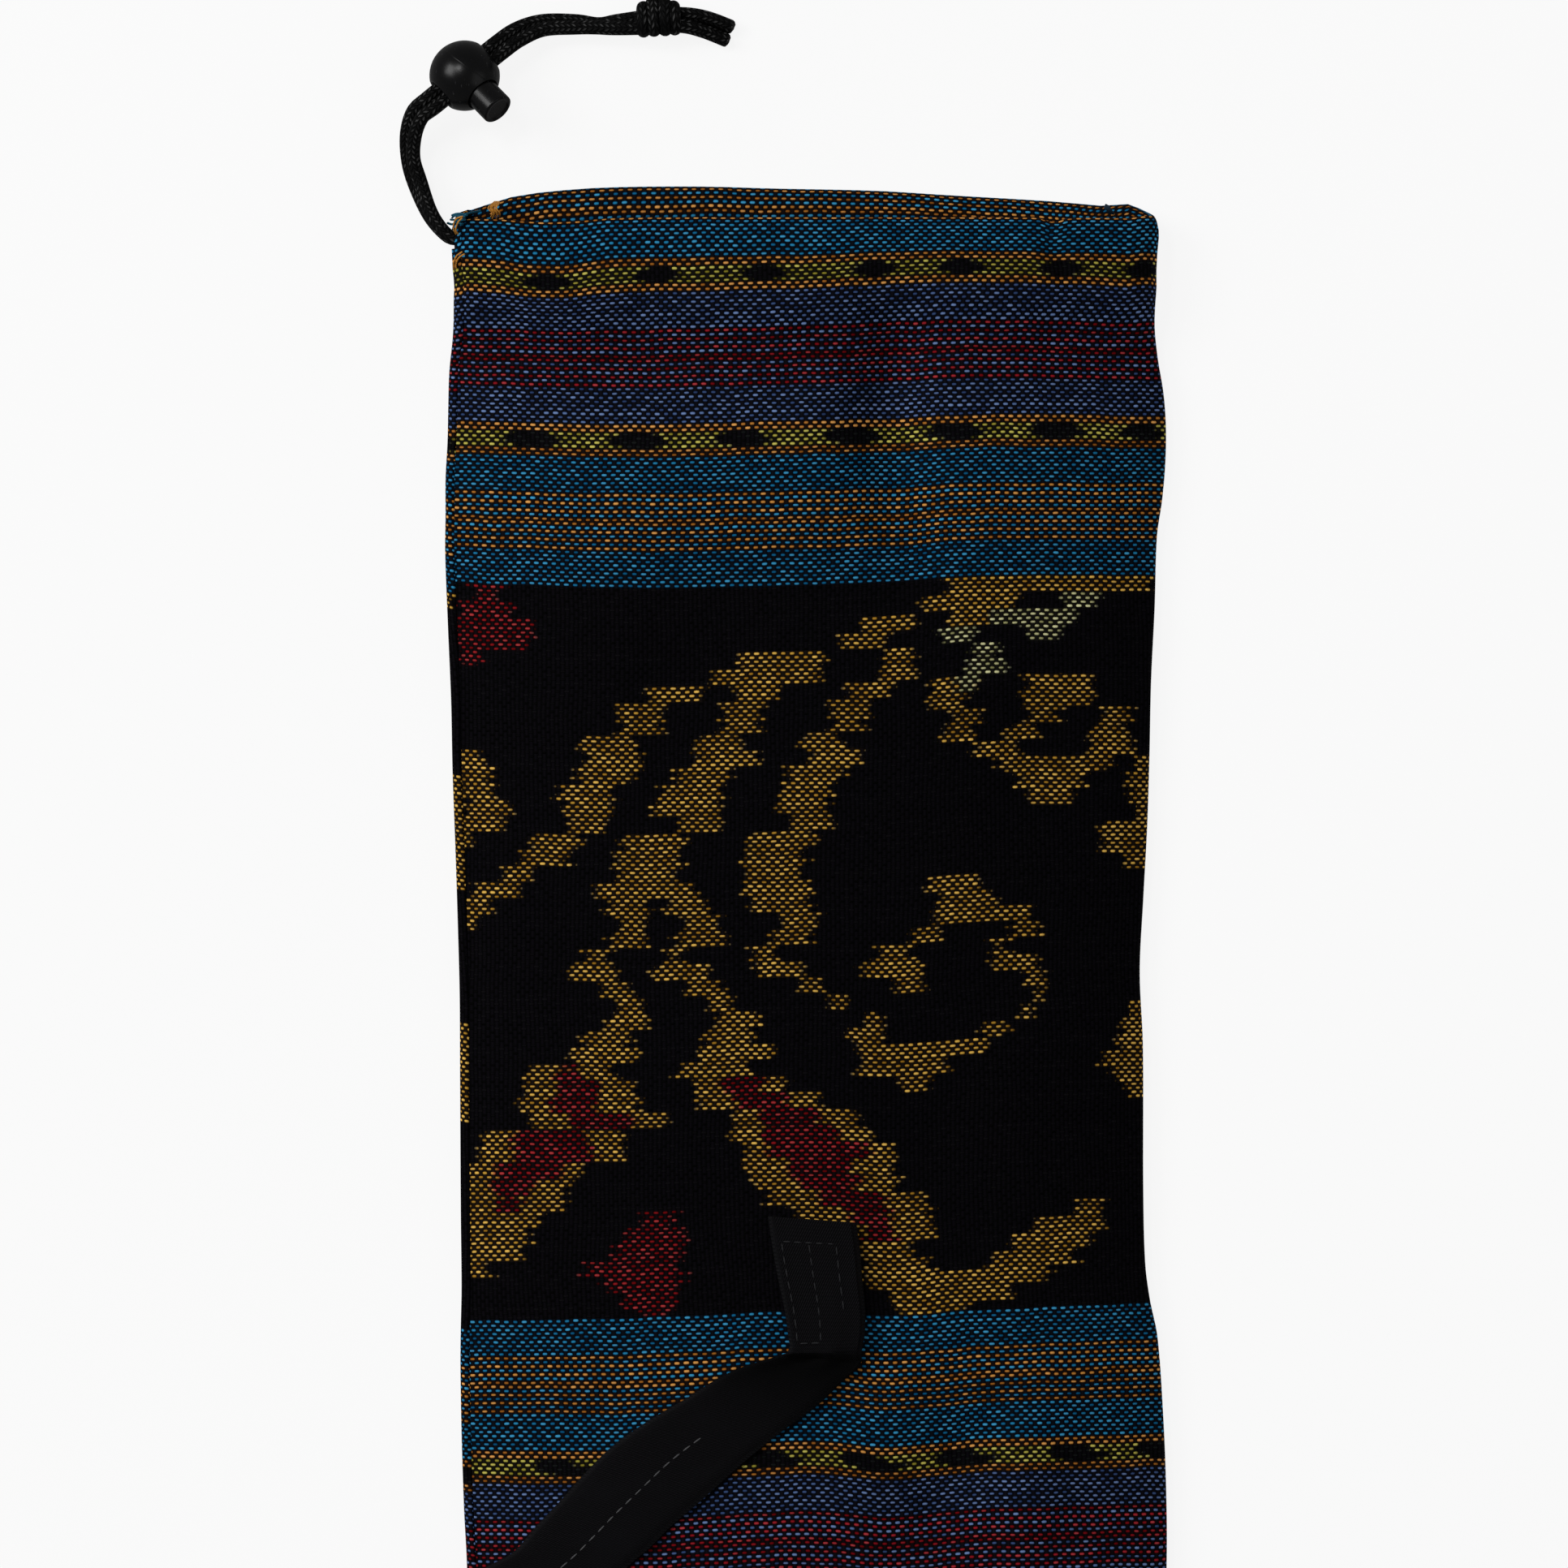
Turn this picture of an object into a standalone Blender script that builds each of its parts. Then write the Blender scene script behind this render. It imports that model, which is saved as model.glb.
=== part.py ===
"""A drawstring bag of ikat cloth for a didgeridoo, empty and lying flat, as closed solids.

The cloth is one long panel, folded along the right side and sewn along the left side and the
bottom. Its mouth is a hem that holds a cord: the hem and the rest of the bag are two solids, a
hair's breadth apart, which stand for one cloth. Both ends of the cord leave the hem at the left
corner, pass a ball lock and end behind a knot. A shoulder strap is sewn to the upper layer near
each end and lies out beside the bag. Metres, +Z up, +Y towards the mouth, underside at z = 0.
"""

import math

import bmesh
import bpy
from mathutils import Matrix, Vector

MM = 0.001

# The bag
BAG_LENGTH = 1.400
BAG_WIDTH = 0.180
CLOTH = 1.2 * MM  # thickness of the cloth
CROWN = 19.0 * MM  # height of the upper layer over the floor, along the middle
EDGE_ROUND = 3.2 * MM  # radius of the two long edges
BACK_RIM_RISE = 7.0 * MM  # how far the lower layer's rim stands out past the upper one's
BOTTOM_SEAM = 12.0 * MM  # depth of the sewn bottom edge, where both layers lie together
SEAM_HEIGHT = 3.0 * MM
SEAM_TAPER = 48.0 * MM  # how far above the bottom edge's seam the bag starts to flatten

# The drawcord and the hem round it
CORD_DIAMETER = 3.4 * MM
CLEARANCE = 0.3 * MM
PAIR_SPACING = CORD_DIAMETER + 0.4 * MM  # between the centres of the two strands
HEM_DEPTH = 18.0 * MM
HEM_PART = 35.0 * MM  # length of the solid that holds the hem
MOUTH_CLEAR = 7.0 * MM  # free height inside the mouth
CORD_DOWN = 5.0 * MM  # from the rim to the cord in its channel
CHANNEL = CORD_DIAMETER + 2 * CLEARANCE
HEM_WALL = 2 * CLOTH + CHANNEL
HEM_EDGE_ROUND = HEM_WALL + 2 * CLEARANCE
HEM_HEIGHT = 2 * HEM_WALL + MOUTH_CLEAR

# The cord lock and the knot
BALL_DIAMETER = 18.0 * MM
BUTTON_DIAMETER = 8.4 * MM
BUTTON_PROUD = 6.2 * MM  # how far the button stands out of the ball
BUTTON_TRAVEL = 2.0 * MM
BUTTON_BRIDGE = 1.0 * MM  # the button's inner end, behind its cord slot
KNOT_DIAMETER = 10.4 * MM
KNOT_LENGTH = 10.5 * MM
LOCK_PLACE = (2.5 * MM, 41.4 * MM)  # the ball's centre, from where the cord leaves the hem
LOCK_HEADING = math.radians(39.5)  # of the cord's hole, from +X
LOCK_LEAN = math.radians(8.0)  # the hole falls this much as it heads away from the bag
BUTTON_LIFT = 28.0  # degrees that the button is turned up about the hole

# The shoulder strap
STRAP_WIDTH = 25.0 * MM
STRAP_THICKNESS = 2.0 * MM
STRAP_END_THICKNESS = 3.2 * MM  # where the end is folded under and sewn down
STRAP_END_LENGTH = 33.0 * MM
STRAP_SEAT = 0.5 * MM  # between the strap and the cloth under it
STRAP_DROP = 45.0 * MM  # how far it slopes from the bag's edge down to the floor
STRAP_FROM_END = 0.262  # from each end of the bag to the strap's sewn edge
STRAP_FINE_LENGTH = 165.0 * MM  # from each end: the stretch that has twice as many facets

# Derived places
MOUTH_Y = BAG_LENGTH / 2 - BACK_RIM_RISE
CUT_LENGTH = BAG_LENGTH - BACK_RIM_RISE  # from the upper layer's rim to the bottom
SEAM_DOWN = CUT_LENGTH - BOTTOM_SEAM  # from the rim to the seam that closes the bottom
BODY_START = HEM_PART + 0.5 * MM  # where the solid below the hem begins
BALL_RADIUS = BALL_DIAMETER / 2
CORD_RADIUS = CORD_DIAMETER / 2
PAIR_RADIUS = PAIR_SPACING / 2 + CORD_RADIUS + CLEARANCE  # a hole that takes both strands

# Sections of the bag: where, as a share of CUT_LENGTH down from the mouth; the left and right
# edges, as shares of half of BAG_WIDTH; and the height, as a share of CROWN.
SECTIONS = [
    ("down", "left", "right", "height"),
    (0.000, 0.990, 0.990, 1.00),
    (0.006, 0.998, 0.998, 1.00),
    (0.013, 0.994, 0.992, 0.98),
    (0.020, 0.993, 0.987, 0.90),
    (0.030, 1.008, 0.998, 0.92),
    (0.044, 1.018, 1.023, 1.00),
    (0.058, 1.024, 1.018, 1.00),
    (0.070, 1.018, 0.996, 0.97),
    (0.085, 1.008, 0.988, 0.95),
    (0.105, 1.002, 0.977, 0.97),
    (0.125, 0.991, 0.966, 1.00),
    (0.145, 0.983, 0.949, 1.00),
    (0.165, 0.981, 0.958, 0.97),
    (0.190, 0.978, 0.961, 0.93),
    (0.203, 0.979, 0.976, 0.92),
    (0.215, 0.980, 1.004, 0.95),
    (0.235, 0.972, 1.022, 1.00),
    (0.255, 0.962, 1.026, 1.00),
    (0.290, 0.978, 1.010, 0.96),
    (0.340, 0.992, 0.985, 0.97),
    (0.400, 0.984, 0.972, 1.00),
    (0.460, 0.975, 0.990, 0.95),
    (0.520, 0.990, 1.004, 0.97),
    (0.580, 1.004, 0.990, 1.00),
    (0.640, 0.990, 0.976, 0.96),
    (0.700, 0.978, 0.988, 0.97),
    (0.750, 0.984, 1.002, 1.00),
    (0.810, 0.996, 0.992, 0.95),
    (0.860, 0.990, 0.984, 0.93),
    (0.920, 0.986, 0.988, 0.90),
    (0.960, 0.990, 0.992, 0.66),
    (0.982, 0.992, 0.992, 0.38),
]

# Soft dips in the upper layer: the centre, as shares of half of BAG_WIDTH and of CUT_LENGTH;
# the reach each way, as the same shares; and the depth, as a share of CROWN. A crest is negative.
FOLDS = [
    ("across", "down", "wide", "long", "depth"),
    (-0.49, 0.030, 0.13, 0.014, 0.10),
    (0.25, 0.040, 0.12, 0.020, 0.20),
    (0.02, 0.052, 0.20, 0.016, -0.06),
    (0.40, 0.236, 0.22, 0.016, 0.22),
    (0.66, 0.228, 0.16, 0.016, -0.14),
    (-0.30, 0.330, 0.20, 0.020, 0.14),
    (0.35, 0.470, 0.18, 0.024, 0.16),
    (-0.42, 0.600, 0.16, 0.022, 0.12),
    (0.30, 0.880, 0.18, 0.018, 0.14),
]

# The strap's centreline over the bag's upper half, from its sewn edge: across, as a share of half
# of BAG_WIDTH, and along, as a share of the way from its sewn edge to the bag's middle.
STRAP_ROUTE = [
    ("across", "along"),
    (0.015, 0.000),
    (0.034, 0.028),
    (0.048, 0.057),
    (0.043, 0.073),
    (0.004, 0.087),
    (-0.076, 0.099),
    (-0.187, 0.112),
    (-0.301, 0.127),
    (-0.444, 0.152),
    (-0.587, 0.179),
    (-0.706, 0.202),
    (-0.950, 0.252),
    (-1.230, 0.318),
    (-1.560, 0.415),
    (-1.880, 0.540),
    (-2.140, 0.690),
    (-2.290, 0.850),
    (-2.330, 1.000),
]

# The two strands' common centreline, in metres from where they leave the hem, and the turn of one
# strand about the other in degrees: 0 is side by side, 90 is one above the other.
HEM_TO_LOCK = [
    ("x", "y", "z", "twist"),
    (0.0027, 0.0000, 0.0070, 90),
    (0.0008, 0.0000, 0.0070, 90),
    (-0.0020, 0.0008, 0.0069, 90),
    (-0.0062, 0.0060, 0.0056, 80),
    (-0.0097, 0.0145, 0.0038, 64),
    (-0.0114, 0.0207, 0.0045, 66),
    (-0.0112, 0.0268, 0.0068, 52),
    (-0.0094, 0.0316, 0.0093, 38),
]
LOCK_TO_KNOT = [
    ("x", "y", "z", "twist"),
    (0.0161, 0.0512, 0.0058, 45),
    (0.0223, 0.0537, 0.0043, 60),
    (0.0306, 0.0546, 0.0037, 75),
    (0.0365, 0.0544, 0.0040, 84),
    (0.0416, 0.0547, 0.0047, 60),
]
KNOT_ROUTE = [
    ("x", "y", "z", "twist"),
    (0.0461, 0.0552, 0.0054, 32),
    (0.0521, 0.0555, 0.0054, 30),
    (0.0581, 0.0558, 0.0054, 30),
]
KNOT_TO_END = [
    ("x", "y", "z", "twist"),
    (0.0640, 0.0545, 0.0036, 12),
    (0.0706, 0.0518, 0.0018, 0),
]

# The knot's wall: height, as a share of half of its length, and how full the wall is there.
KNOT_PROFILE = [
    ("high", "full"),
    (1.00, 0.15),
    (0.92, 0.62),
    (0.55, 1.00),
    (0.15, 0.84),
    (-0.20, 0.84),
    (-0.60, 1.00),
    (-0.94, 0.62),
    (-1.00, 0.15),
]

# Facets
EDGE_STEPS = 8
TOP_STEPS = 16
UNDER_STEPS = 8
CORD_STEP = 4.6 * MM
STRAP_STEP = 6.5 * MM
STRAP_STEPS_ACROSS = 4
CURVE_SAMPLES = 600
SLOPE_SHARE = 0.002  # a short step along a curve, to find its direction

# The colours, as linear red, green and blue, with roughness
CLOTH_FINISH = ("ikat_cloth", (0.020, 0.075, 0.110), 0.90)
STRAP_FINISH = ("black_twill", (0.009, 0.009, 0.010), 0.88)
CORD_FINISH = ("black_braid", (0.010, 0.010, 0.010), 0.80)
PLASTIC_FINISH = ("black_plastic", (0.012, 0.012, 0.013), 0.42)


def clear_scene():
    for obj in list(bpy.data.objects):
        bpy.data.objects.remove(obj)


def new_collection(name, hidden=False):
    group = bpy.data.collections.new(name)
    group.hide_render = hidden
    bpy.context.scene.collection.children.link(group)
    return group


def finish_of(name, colour, roughness):
    """A material of one plain colour."""
    material = bpy.data.materials.get(name) or bpy.data.materials.new(name)
    material.use_nodes = True
    shader = material.node_tree.nodes["Principled BSDF"]
    shader.inputs["Base Color"].default_value = (*colour, 1.0)
    shader.inputs["Roughness"].default_value = roughness
    shader.inputs["Metallic"].default_value = 0.0
    return material


def smooth_through(rows, share):
    """The values at a share of the way along the rows, on a smooth curve through them all."""
    place = min(max(share, 0.0), 1.0) * (len(rows) - 1)
    i = min(int(place), len(rows) - 2)
    t = place - i
    weights = (
        (-t + 2 * t**2 - t**3) / 2,
        (2 - 5 * t**2 + 3 * t**3) / 2,
        (t + 4 * t**2 - 3 * t**3) / 2,
        (-(t**2) + t**3) / 2,
    )
    near = [rows[min(max(i + k, 0), len(rows) - 1)] for k in (-1, 0, 1, 2)]
    return [sum(w * value for w, value in zip(weights, column)) for column in zip(*near)]


def ease(share):
    """0 to 1 with soft ends."""
    t = min(max(share, 0.0), 1.0)
    return t * t * (3 - 2 * t)


def flattened(down):
    """0 over most of the bag, and 1 at the seam that closes its bottom."""
    return ease((down - (SEAM_DOWN - SEAM_TAPER)) / SEAM_TAPER)


def outline(down):
    """(left edge, right edge, height) of the bag at a distance down from the mouth."""
    rows = SECTIONS[1:]
    share = min(max(down / CUT_LENGTH, 0.0), rows[-1][0])
    i = next(k for k in range(len(rows) - 1) if share <= rows[k + 1][0])
    t = ease((share - rows[i][0]) / (rows[i + 1][0] - rows[i][0]))
    left, right, height = (rows[i][k] + (rows[i + 1][k] - rows[i][k]) * t for k in (1, 2, 3))
    crown = CROWN * height
    in_hem = 1 - ease((down - HEM_DEPTH) / HEM_DEPTH)
    crown += (HEM_HEIGHT - crown) * in_hem
    crown += (SEAM_HEIGHT - crown) * flattened(down)
    return -left * BAG_WIDTH / 2, right * BAG_WIDTH / 2, crown


def edge_round(down):
    """The radius of the long edges: large round the hem, small below it, flat at the bottom."""
    radius = HEM_EDGE_ROUND + (EDGE_ROUND - HEM_EDGE_ROUND) * ease((down - HEM_DEPTH) / HEM_DEPTH)
    return radius + (SEAM_HEIGHT / 2 - radius) * flattened(down)


def folds(x, down):
    """How far the soft folds lower the upper layer at a place."""
    dip = 0.0
    for across, at, wide, long, depth in FOLDS[1:]:
        u = (x / (BAG_WIDTH / 2) - across) / wide
        v = (down / CUT_LENGTH - at) / long
        dip += depth * CROWN * math.exp(-u * u - v * v)
    return dip


def top_height(x, down):
    """The height of the upper layer's outer face, between the bag's two rounded edges."""
    left, right, crown = outline(down)
    radius = edge_round(down)
    s = 2 * (x - left - radius) / (right - left - 2 * radius) - 1
    swell = (1 - min(abs(s), 1.0) ** 2.6) ** 0.8
    loose = (1 - flattened(down)) * ease((down - HEM_DEPTH) / HEM_DEPTH)
    return 2 * radius + (crown - 2 * radius) * swell - folds(x, down) * swell * loose


def section(down, inset):
    """A closed ring of points round the bag: inset is how far inside its outer face they lie."""
    left, right, _ = outline(down)
    radius = edge_round(down)
    low, high = left + radius, right - radius
    arc = radius - inset
    ring = []
    for i in range(EDGE_STEPS):
        turn = -math.pi / 2 - math.pi * i / EDGE_STEPS
        ring.append((low + arc * math.cos(turn), 0.0, radius + arc * math.sin(turn)))
    for i in range(TOP_STEPS):
        x = low + (high - low) * i / TOP_STEPS
        ring.append((x, 0.0, top_height(x, down) - inset))
    for i in range(EDGE_STEPS):
        turn = math.pi / 2 - math.pi * i / EDGE_STEPS
        ring.append((high + arc * math.cos(turn), 0.0, radius + arc * math.sin(turn)))
    for i in range(UNDER_STEPS):
        x = high + (low - high) * i / UNDER_STEPS
        share = 2 * i / UNDER_STEPS - 1
        fade = 1 - ease(down / (5 * HEM_DEPTH))
        ring.append((x, BACK_RIM_RISE * (1 - abs(share) ** 2.5) * fade, inset))
    return [Vector((x, MOUTH_Y - down + rise, z)) for x, rise, z in ring]


def loft(rings, name, round_again=False):
    """A closed mesh through rings of points: each end gets a face, or the last ring meets the first."""
    shape = bmesh.new()
    loops = [[shape.verts.new(point) for point in ring] for ring in rings]
    count = len(rings[0])
    following = loops[1:] + loops[:1] if round_again else loops[1:]
    for a, b in zip(loops, following):
        for i in range(count):
            j = (i + 1) % count
            shape.faces.new((a[i], a[j], b[j], b[i]))
    if not round_again:
        shape.faces.new(loops[0])
        shape.faces.new(reversed(loops[-1]))
    bmesh.ops.recalc_face_normals(shape, faces=shape.faces)
    return to_object(shape, name)


def to_object(shape, name):
    mesh = bpy.data.meshes.new(name)
    shape.to_mesh(mesh)
    shape.free()
    return bpy.data.objects.new(name, mesh)


def add(obj, group, finish=None):
    group.objects.link(obj)
    if finish:
        obj.data.materials.append(finish_of(*finish))
    return obj


def smooth_shaded(obj, degrees=40):
    obj.data.shade_smooth()
    obj.data.set_sharp_from_angle(angle=math.radians(degrees))
    return obj


def as_cutter(obj, group):
    group.objects.link(obj)
    obj.hide_render = True
    obj.display_type = "WIRE"
    return obj


def cut(obj, cutter):
    boolean = obj.modifiers.new(cutter.name, "BOOLEAN")
    boolean.operation = "DIFFERENCE"
    boolean.solver = "EXACT"
    boolean.object = cutter


def body_stations():
    """Distances down from the mouth at which the bag has a section, below its hem."""
    shares = [row[0] for row in SECTIONS[1:] if row[0] * CUT_LENGTH > 1.1 * BODY_START]
    middles = [(a + b) / 2 for a, b in zip(shares, shares[1:]) if b - a < 0.030]
    places = [share * CUT_LENGTH for share in sorted(shares + middles)]
    last = SEAM_DOWN - SEAM_TAPER
    return [BODY_START] + [down for down in places if down < last] + [last, last + SEAM_TAPER / 2]


def make_body():
    """The bag below its hem: a tube of cloth, open at its top and closed at its bottom."""
    stations = body_stations()
    inner = [(down, CLOTH) for down in reversed(stations)]
    outer = [(down, 0.0) for down in stations + [SEAM_DOWN, CUT_LENGTH]]
    rings = [section(down, inset) for down, inset in inner + outer]
    return smooth_shaded(loft(rings, "bag_body"))


def make_hem():
    """The sheet at the mouth: up the outside, in over the drawcord, and down the inside."""
    outer = [(HEM_PART, 0.0)]
    outer += [(HEM_DEPTH * share, 0.0) for share in (1.25, 1.0, 0.75, 0.45, 0.20, 0.05)]
    rim = [(0.0, HEM_WALL * 0.12), (-CLOTH, HEM_WALL * 0.35)]
    rim += [(-CLOTH, HEM_WALL * 0.65), (0.0, HEM_WALL * 0.88)]
    facing = [(HEM_DEPTH * share, HEM_WALL) for share in (0.05, 0.45, 0.72)]
    facing += [(HEM_DEPTH, 2 * CLOTH + CLEARANCE), (HEM_DEPTH, CLOTH + CLEARANCE)]
    channel = [(HEM_DEPTH * share, HEM_WALL - CLOTH) for share in (0.68, 0.40, 0.09)]
    channel += [(0.0, HEM_WALL - CLOTH - CHANNEL * 0.25), (0.0, CLOTH + CHANNEL * 0.25)]
    inner = [(HEM_DEPTH * share, CLOTH) for share in (0.09, 0.45, 0.75, 1.0, 1.25)]
    inner += [(HEM_PART, CLOTH)]
    rings = [section(down, inset) for down, inset in outer + rim + facing + channel + inner]
    return smooth_shaded(loft(rings, "bag_hem", round_again=True))


def cord_exit():
    """Where the drawcord leaves the hem, in the middle of the left edge's wall."""
    left, _, _ = outline(CORD_DOWN)
    return Vector((left, MOUTH_Y - CORD_DOWN, HEM_EDGE_ROUND))


def make_exit_cutter():
    """The side seam is left open at the channel, for the two strands."""
    shape = bmesh.new()
    bmesh.ops.create_cube(shape, size=1.0)
    reach = HEM_WALL
    tall = PAIR_SPACING + CORD_DIAMETER + 4 * CLEARANCE
    bmesh.ops.scale(shape, vec=(reach, CORD_DIAMETER + 4 * CLEARANCE, tall), verts=shape.verts)
    along = [e for e in shape.edges if abs(e.verts[0].co.x - e.verts[1].co.x) > reach / 2]
    bmesh.ops.bevel(shape, geom=along, offset=CORD_RADIUS, segments=3, profile=0.5, affect="EDGES")
    cutter = to_object(shape, "exit_cutter")
    cutter.location = cord_exit() + Vector((CLEARANCE, 0, 0))
    return cutter


def lock_axes():
    """(the ball's centre, its cord hole's direction, its button's direction)."""
    start = cord_exit()
    centre = Vector((start.x + LOCK_PLACE[0], start.y + LOCK_PLACE[1], BALL_RADIUS))
    level = Vector((math.cos(LOCK_HEADING), math.sin(LOCK_HEADING), 0.0))
    hole = level * math.cos(LOCK_LEAN) - Vector((0, 0, math.sin(LOCK_LEAN)))
    side = hole.cross(Vector((0, 0, 1))).normalized()
    turn = math.radians(BUTTON_LIFT)
    button = side * math.cos(turn) + side.cross(hole) * math.sin(turn)
    return centre, hole, button


def pair_route():
    """Rows of x, y, z and twist along the two strands, from inside the hem to their ends."""
    start = cord_exit()
    centre, hole, _ = lock_axes()

    def placed(table):
        return [(start.x + x, start.y + y, z, twist) for x, y, z, twist in table[1:]]

    shares = (-1.25, -0.6, 0.6, 1.25)
    in_lock = [(*(centre + hole * BALL_RADIUS * share), BUTTON_LIFT) for share in shares]
    return placed(HEM_TO_LOCK) + in_lock + placed(LOCK_TO_KNOT + KNOT_ROUTE[1:] + KNOT_TO_END[1:])


def even_shares(curve, step):
    """Shares of 0 to 1 that lie about one step apart along a curve."""
    fine = [Vector(curve(i / CURVE_SAMPLES)[:3]) for i in range(CURVE_SAMPLES + 1)]
    along = [0.0]
    for a, b in zip(fine, fine[1:]):
        along.append(along[-1] + (b - a).length)
    count = max(2, round(along[-1] / step))
    shares = []
    k = 0
    for n in range(count + 1):
        while k < CURVE_SAMPLES - 1 and along[k + 1] < along[-1] * n / count:
            k += 1
        part = (along[-1] * n / count - along[k]) / (along[k + 1] - along[k])
        shares.append((k + min(part, 1.0)) / CURVE_SAMPLES)
    return shares


def heading(rows, share):
    """The direction of the curve through the rows at a share of the way along."""
    ahead, behind = (smooth_through(rows, share + step)[:3] for step in (SLOPE_SHARE, -SLOPE_SHARE))
    return (Vector(ahead) - Vector(behind)).normalized()


def strand_points(side):
    """One strand's centreline: side is +1 for the upper strand and -1 for the lower one."""
    rows = pair_route()
    points = []
    for share in even_shares(lambda t: smooth_through(rows, t), CORD_STEP):
        x, y, z, twist = smooth_through(rows, share)
        ahead = heading(rows, share)
        right = ahead.cross(Vector((0, 0, 1))).normalized()
        above = right.cross(ahead)
        turn = math.radians(twist)
        away = right * math.cos(turn) + above * math.sin(turn)
        points.append(Vector((x, y, z)) + away * side * PAIR_SPACING / 2)
    return points


def channel_points():
    """The drawcord's stretch inside the hem: along the upper layer, and back along the lower one."""
    ring = section(CORD_DOWN, CLOTH + CHANNEL / 2)
    left_out = EDGE_STEPS // 4  # facets of the left edge that the free strands pass through
    return ring[EDGE_STEPS - left_out :] + ring[: left_out + 1]


def make_cord(name, points):
    """A round cord through the points, with closed ends."""
    curve = bpy.data.curves.new(name, "CURVE")
    curve.dimensions = "3D"
    curve.bevel_depth = CORD_RADIUS
    curve.bevel_resolution = 2
    curve.use_fill_caps = True
    spline = curve.splines.new("POLY")
    spline.points.add(len(points) - 1)
    for place, point in zip(spline.points, points):
        place.co = (*point, 1.0)
    return bpy.data.objects.new(name, curve)


def turned_to(obj, place, axis):
    """Puts an object that was made along +Z at a place, along an axis."""
    obj.matrix_world = Matrix.Translation(place) @ axis.to_track_quat("Z", "Y").to_matrix().to_4x4()


def cylinder(name, radius, low, high, sides=24):
    shape = bmesh.new()
    depth = high - low
    bmesh.ops.create_cone(shape, cap_ends=True, segments=sides, radius1=radius, radius2=radius, depth=depth)
    bmesh.ops.translate(shape, vec=(0, 0, (low + high) / 2), verts=shape.verts)
    return to_object(shape, name)


def make_ball(parts, cutters):
    """The lock's ball, bored for the button and crossed by the hole for both strands."""
    centre, hole, button = lock_axes()
    shape = bmesh.new()
    bmesh.ops.create_uvsphere(shape, u_segments=28, v_segments=16, radius=BALL_RADIUS)
    ball = add(smooth_shaded(to_object(shape, "cord_lock_ball")), parts, PLASTIC_FINISH)
    turned_to(ball, centre, button)
    bore_bottom = button_inner_end() - BUTTON_TRAVEL - CLEARANCE
    bore = cylinder("button_bore", BUTTON_DIAMETER / 2 + CLEARANCE, bore_bottom, BALL_DIAMETER)
    turned_to(as_cutter(bore, cutters), centre, button)
    through = cylinder("cord_hole", PAIR_RADIUS, -BALL_DIAMETER, BALL_DIAMETER)
    turned_to(as_cutter(through, cutters), centre, hole)
    cut(ball, bore)
    cut(ball, through)
    return ball


def button_inner_end():
    """The button's inner end at rest, along its axis from the ball's centre."""
    return -PAIR_RADIUS - BUTTON_BRIDGE


def make_button(parts, cutters):
    """The spring button: a plunger with a slot that clears both strands over its whole travel."""
    centre, hole, button = lock_axes()
    seat = math.sqrt(BALL_RADIUS**2 - (BUTTON_DIAMETER / 2) ** 2)
    outer_end = seat + BUTTON_PROUD
    mount = bpy.data.objects.new("button_axis", None)
    parts.objects.link(mount)
    turned_to(mount, centre, button)
    plunger = cylinder("cord_lock_button", BUTTON_DIAMETER / 2, button_inner_end(), outer_end, 28)
    add(plunger, parts, PLASTIC_FINISH)
    plunger.parent = mount
    rim = plunger.modifiers.new("rim", "BEVEL")
    rim.width = 0.5 * MM
    rim.segments = 2
    rim.angle_limit = math.radians(60)
    low, high = -PAIR_RADIUS, PAIR_RADIUS + BUTTON_TRAVEL
    slot = bmesh.new()
    bmesh.ops.create_cube(slot, size=1.0)
    size = (CORD_DIAMETER + 2 * CLEARANCE, high - low, BALL_DIAMETER)
    bmesh.ops.scale(slot, vec=size, verts=slot.verts)
    slot_cutter = as_cutter(to_object(slot, "cord_slot"), cutters)
    across = button.cross(hole)
    facing = Matrix((across, button, hole)).transposed().to_4x4()
    slot_cutter.matrix_world = Matrix.Translation(centre + button * (low + high) / 2) @ facing
    cut(plunger, slot_cutter)
    return smooth_shaded(plunger)


def make_knot():
    """The stopper knot as a turned, two-humped collar round both strands."""
    half = KNOT_LENGTH / 2
    wall = KNOT_DIAMETER / 2 - PAIR_RADIUS
    rim = [Vector((PAIR_RADIUS + wall * full, 0, half * high)) for high, full in KNOT_PROFILE[1:]]
    inside = [Vector((PAIR_RADIUS, 0, -half)), Vector((PAIR_RADIUS, 0, half))]
    mesh = bmesh.new()
    verts = [mesh.verts.new(point) for point in rim + inside]
    for a, b in zip(verts, verts[1:] + verts[:1]):
        mesh.edges.new((a, b))
    knot = to_object(mesh, "stopper_knot")
    screw = knot.modifiers.new("turn", "SCREW")
    screw.steps = 20
    screw.render_steps = 20
    screw.use_merge_vertices = True
    screw.merge_threshold = 0.00001
    screw.use_normal_calculate = True
    start = cord_exit()
    before, centre, after = (Vector((start.x + x, start.y + y, z)) for x, y, z, _ in KNOT_ROUTE[1:])
    turned_to(knot, centre, (after - before).normalized())
    return knot


def strap_height(x, y):
    """The height of the strap's underside: on the bag, then down a slope to the floor."""
    down = MOUTH_Y - y
    left, _, _ = outline(down)
    radius = edge_round(down)
    inner = left + radius
    if x >= inner:
        return top_height(x, down) + STRAP_SEAT
    return (2 * radius + STRAP_SEAT) * (1 - ease((inner - x) / STRAP_DROP))


def strap_centreline():
    """The whole centreline: the table's half at the mouth end, and its mirror image."""
    sewn = BAG_LENGTH / 2 - STRAP_FROM_END
    half = [(across * BAG_WIDTH / 2, sewn * (1 - along)) for across, along in STRAP_ROUTE[1:]]
    return half + [(x, -y) for x, y in reversed(half[:-1])]


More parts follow.
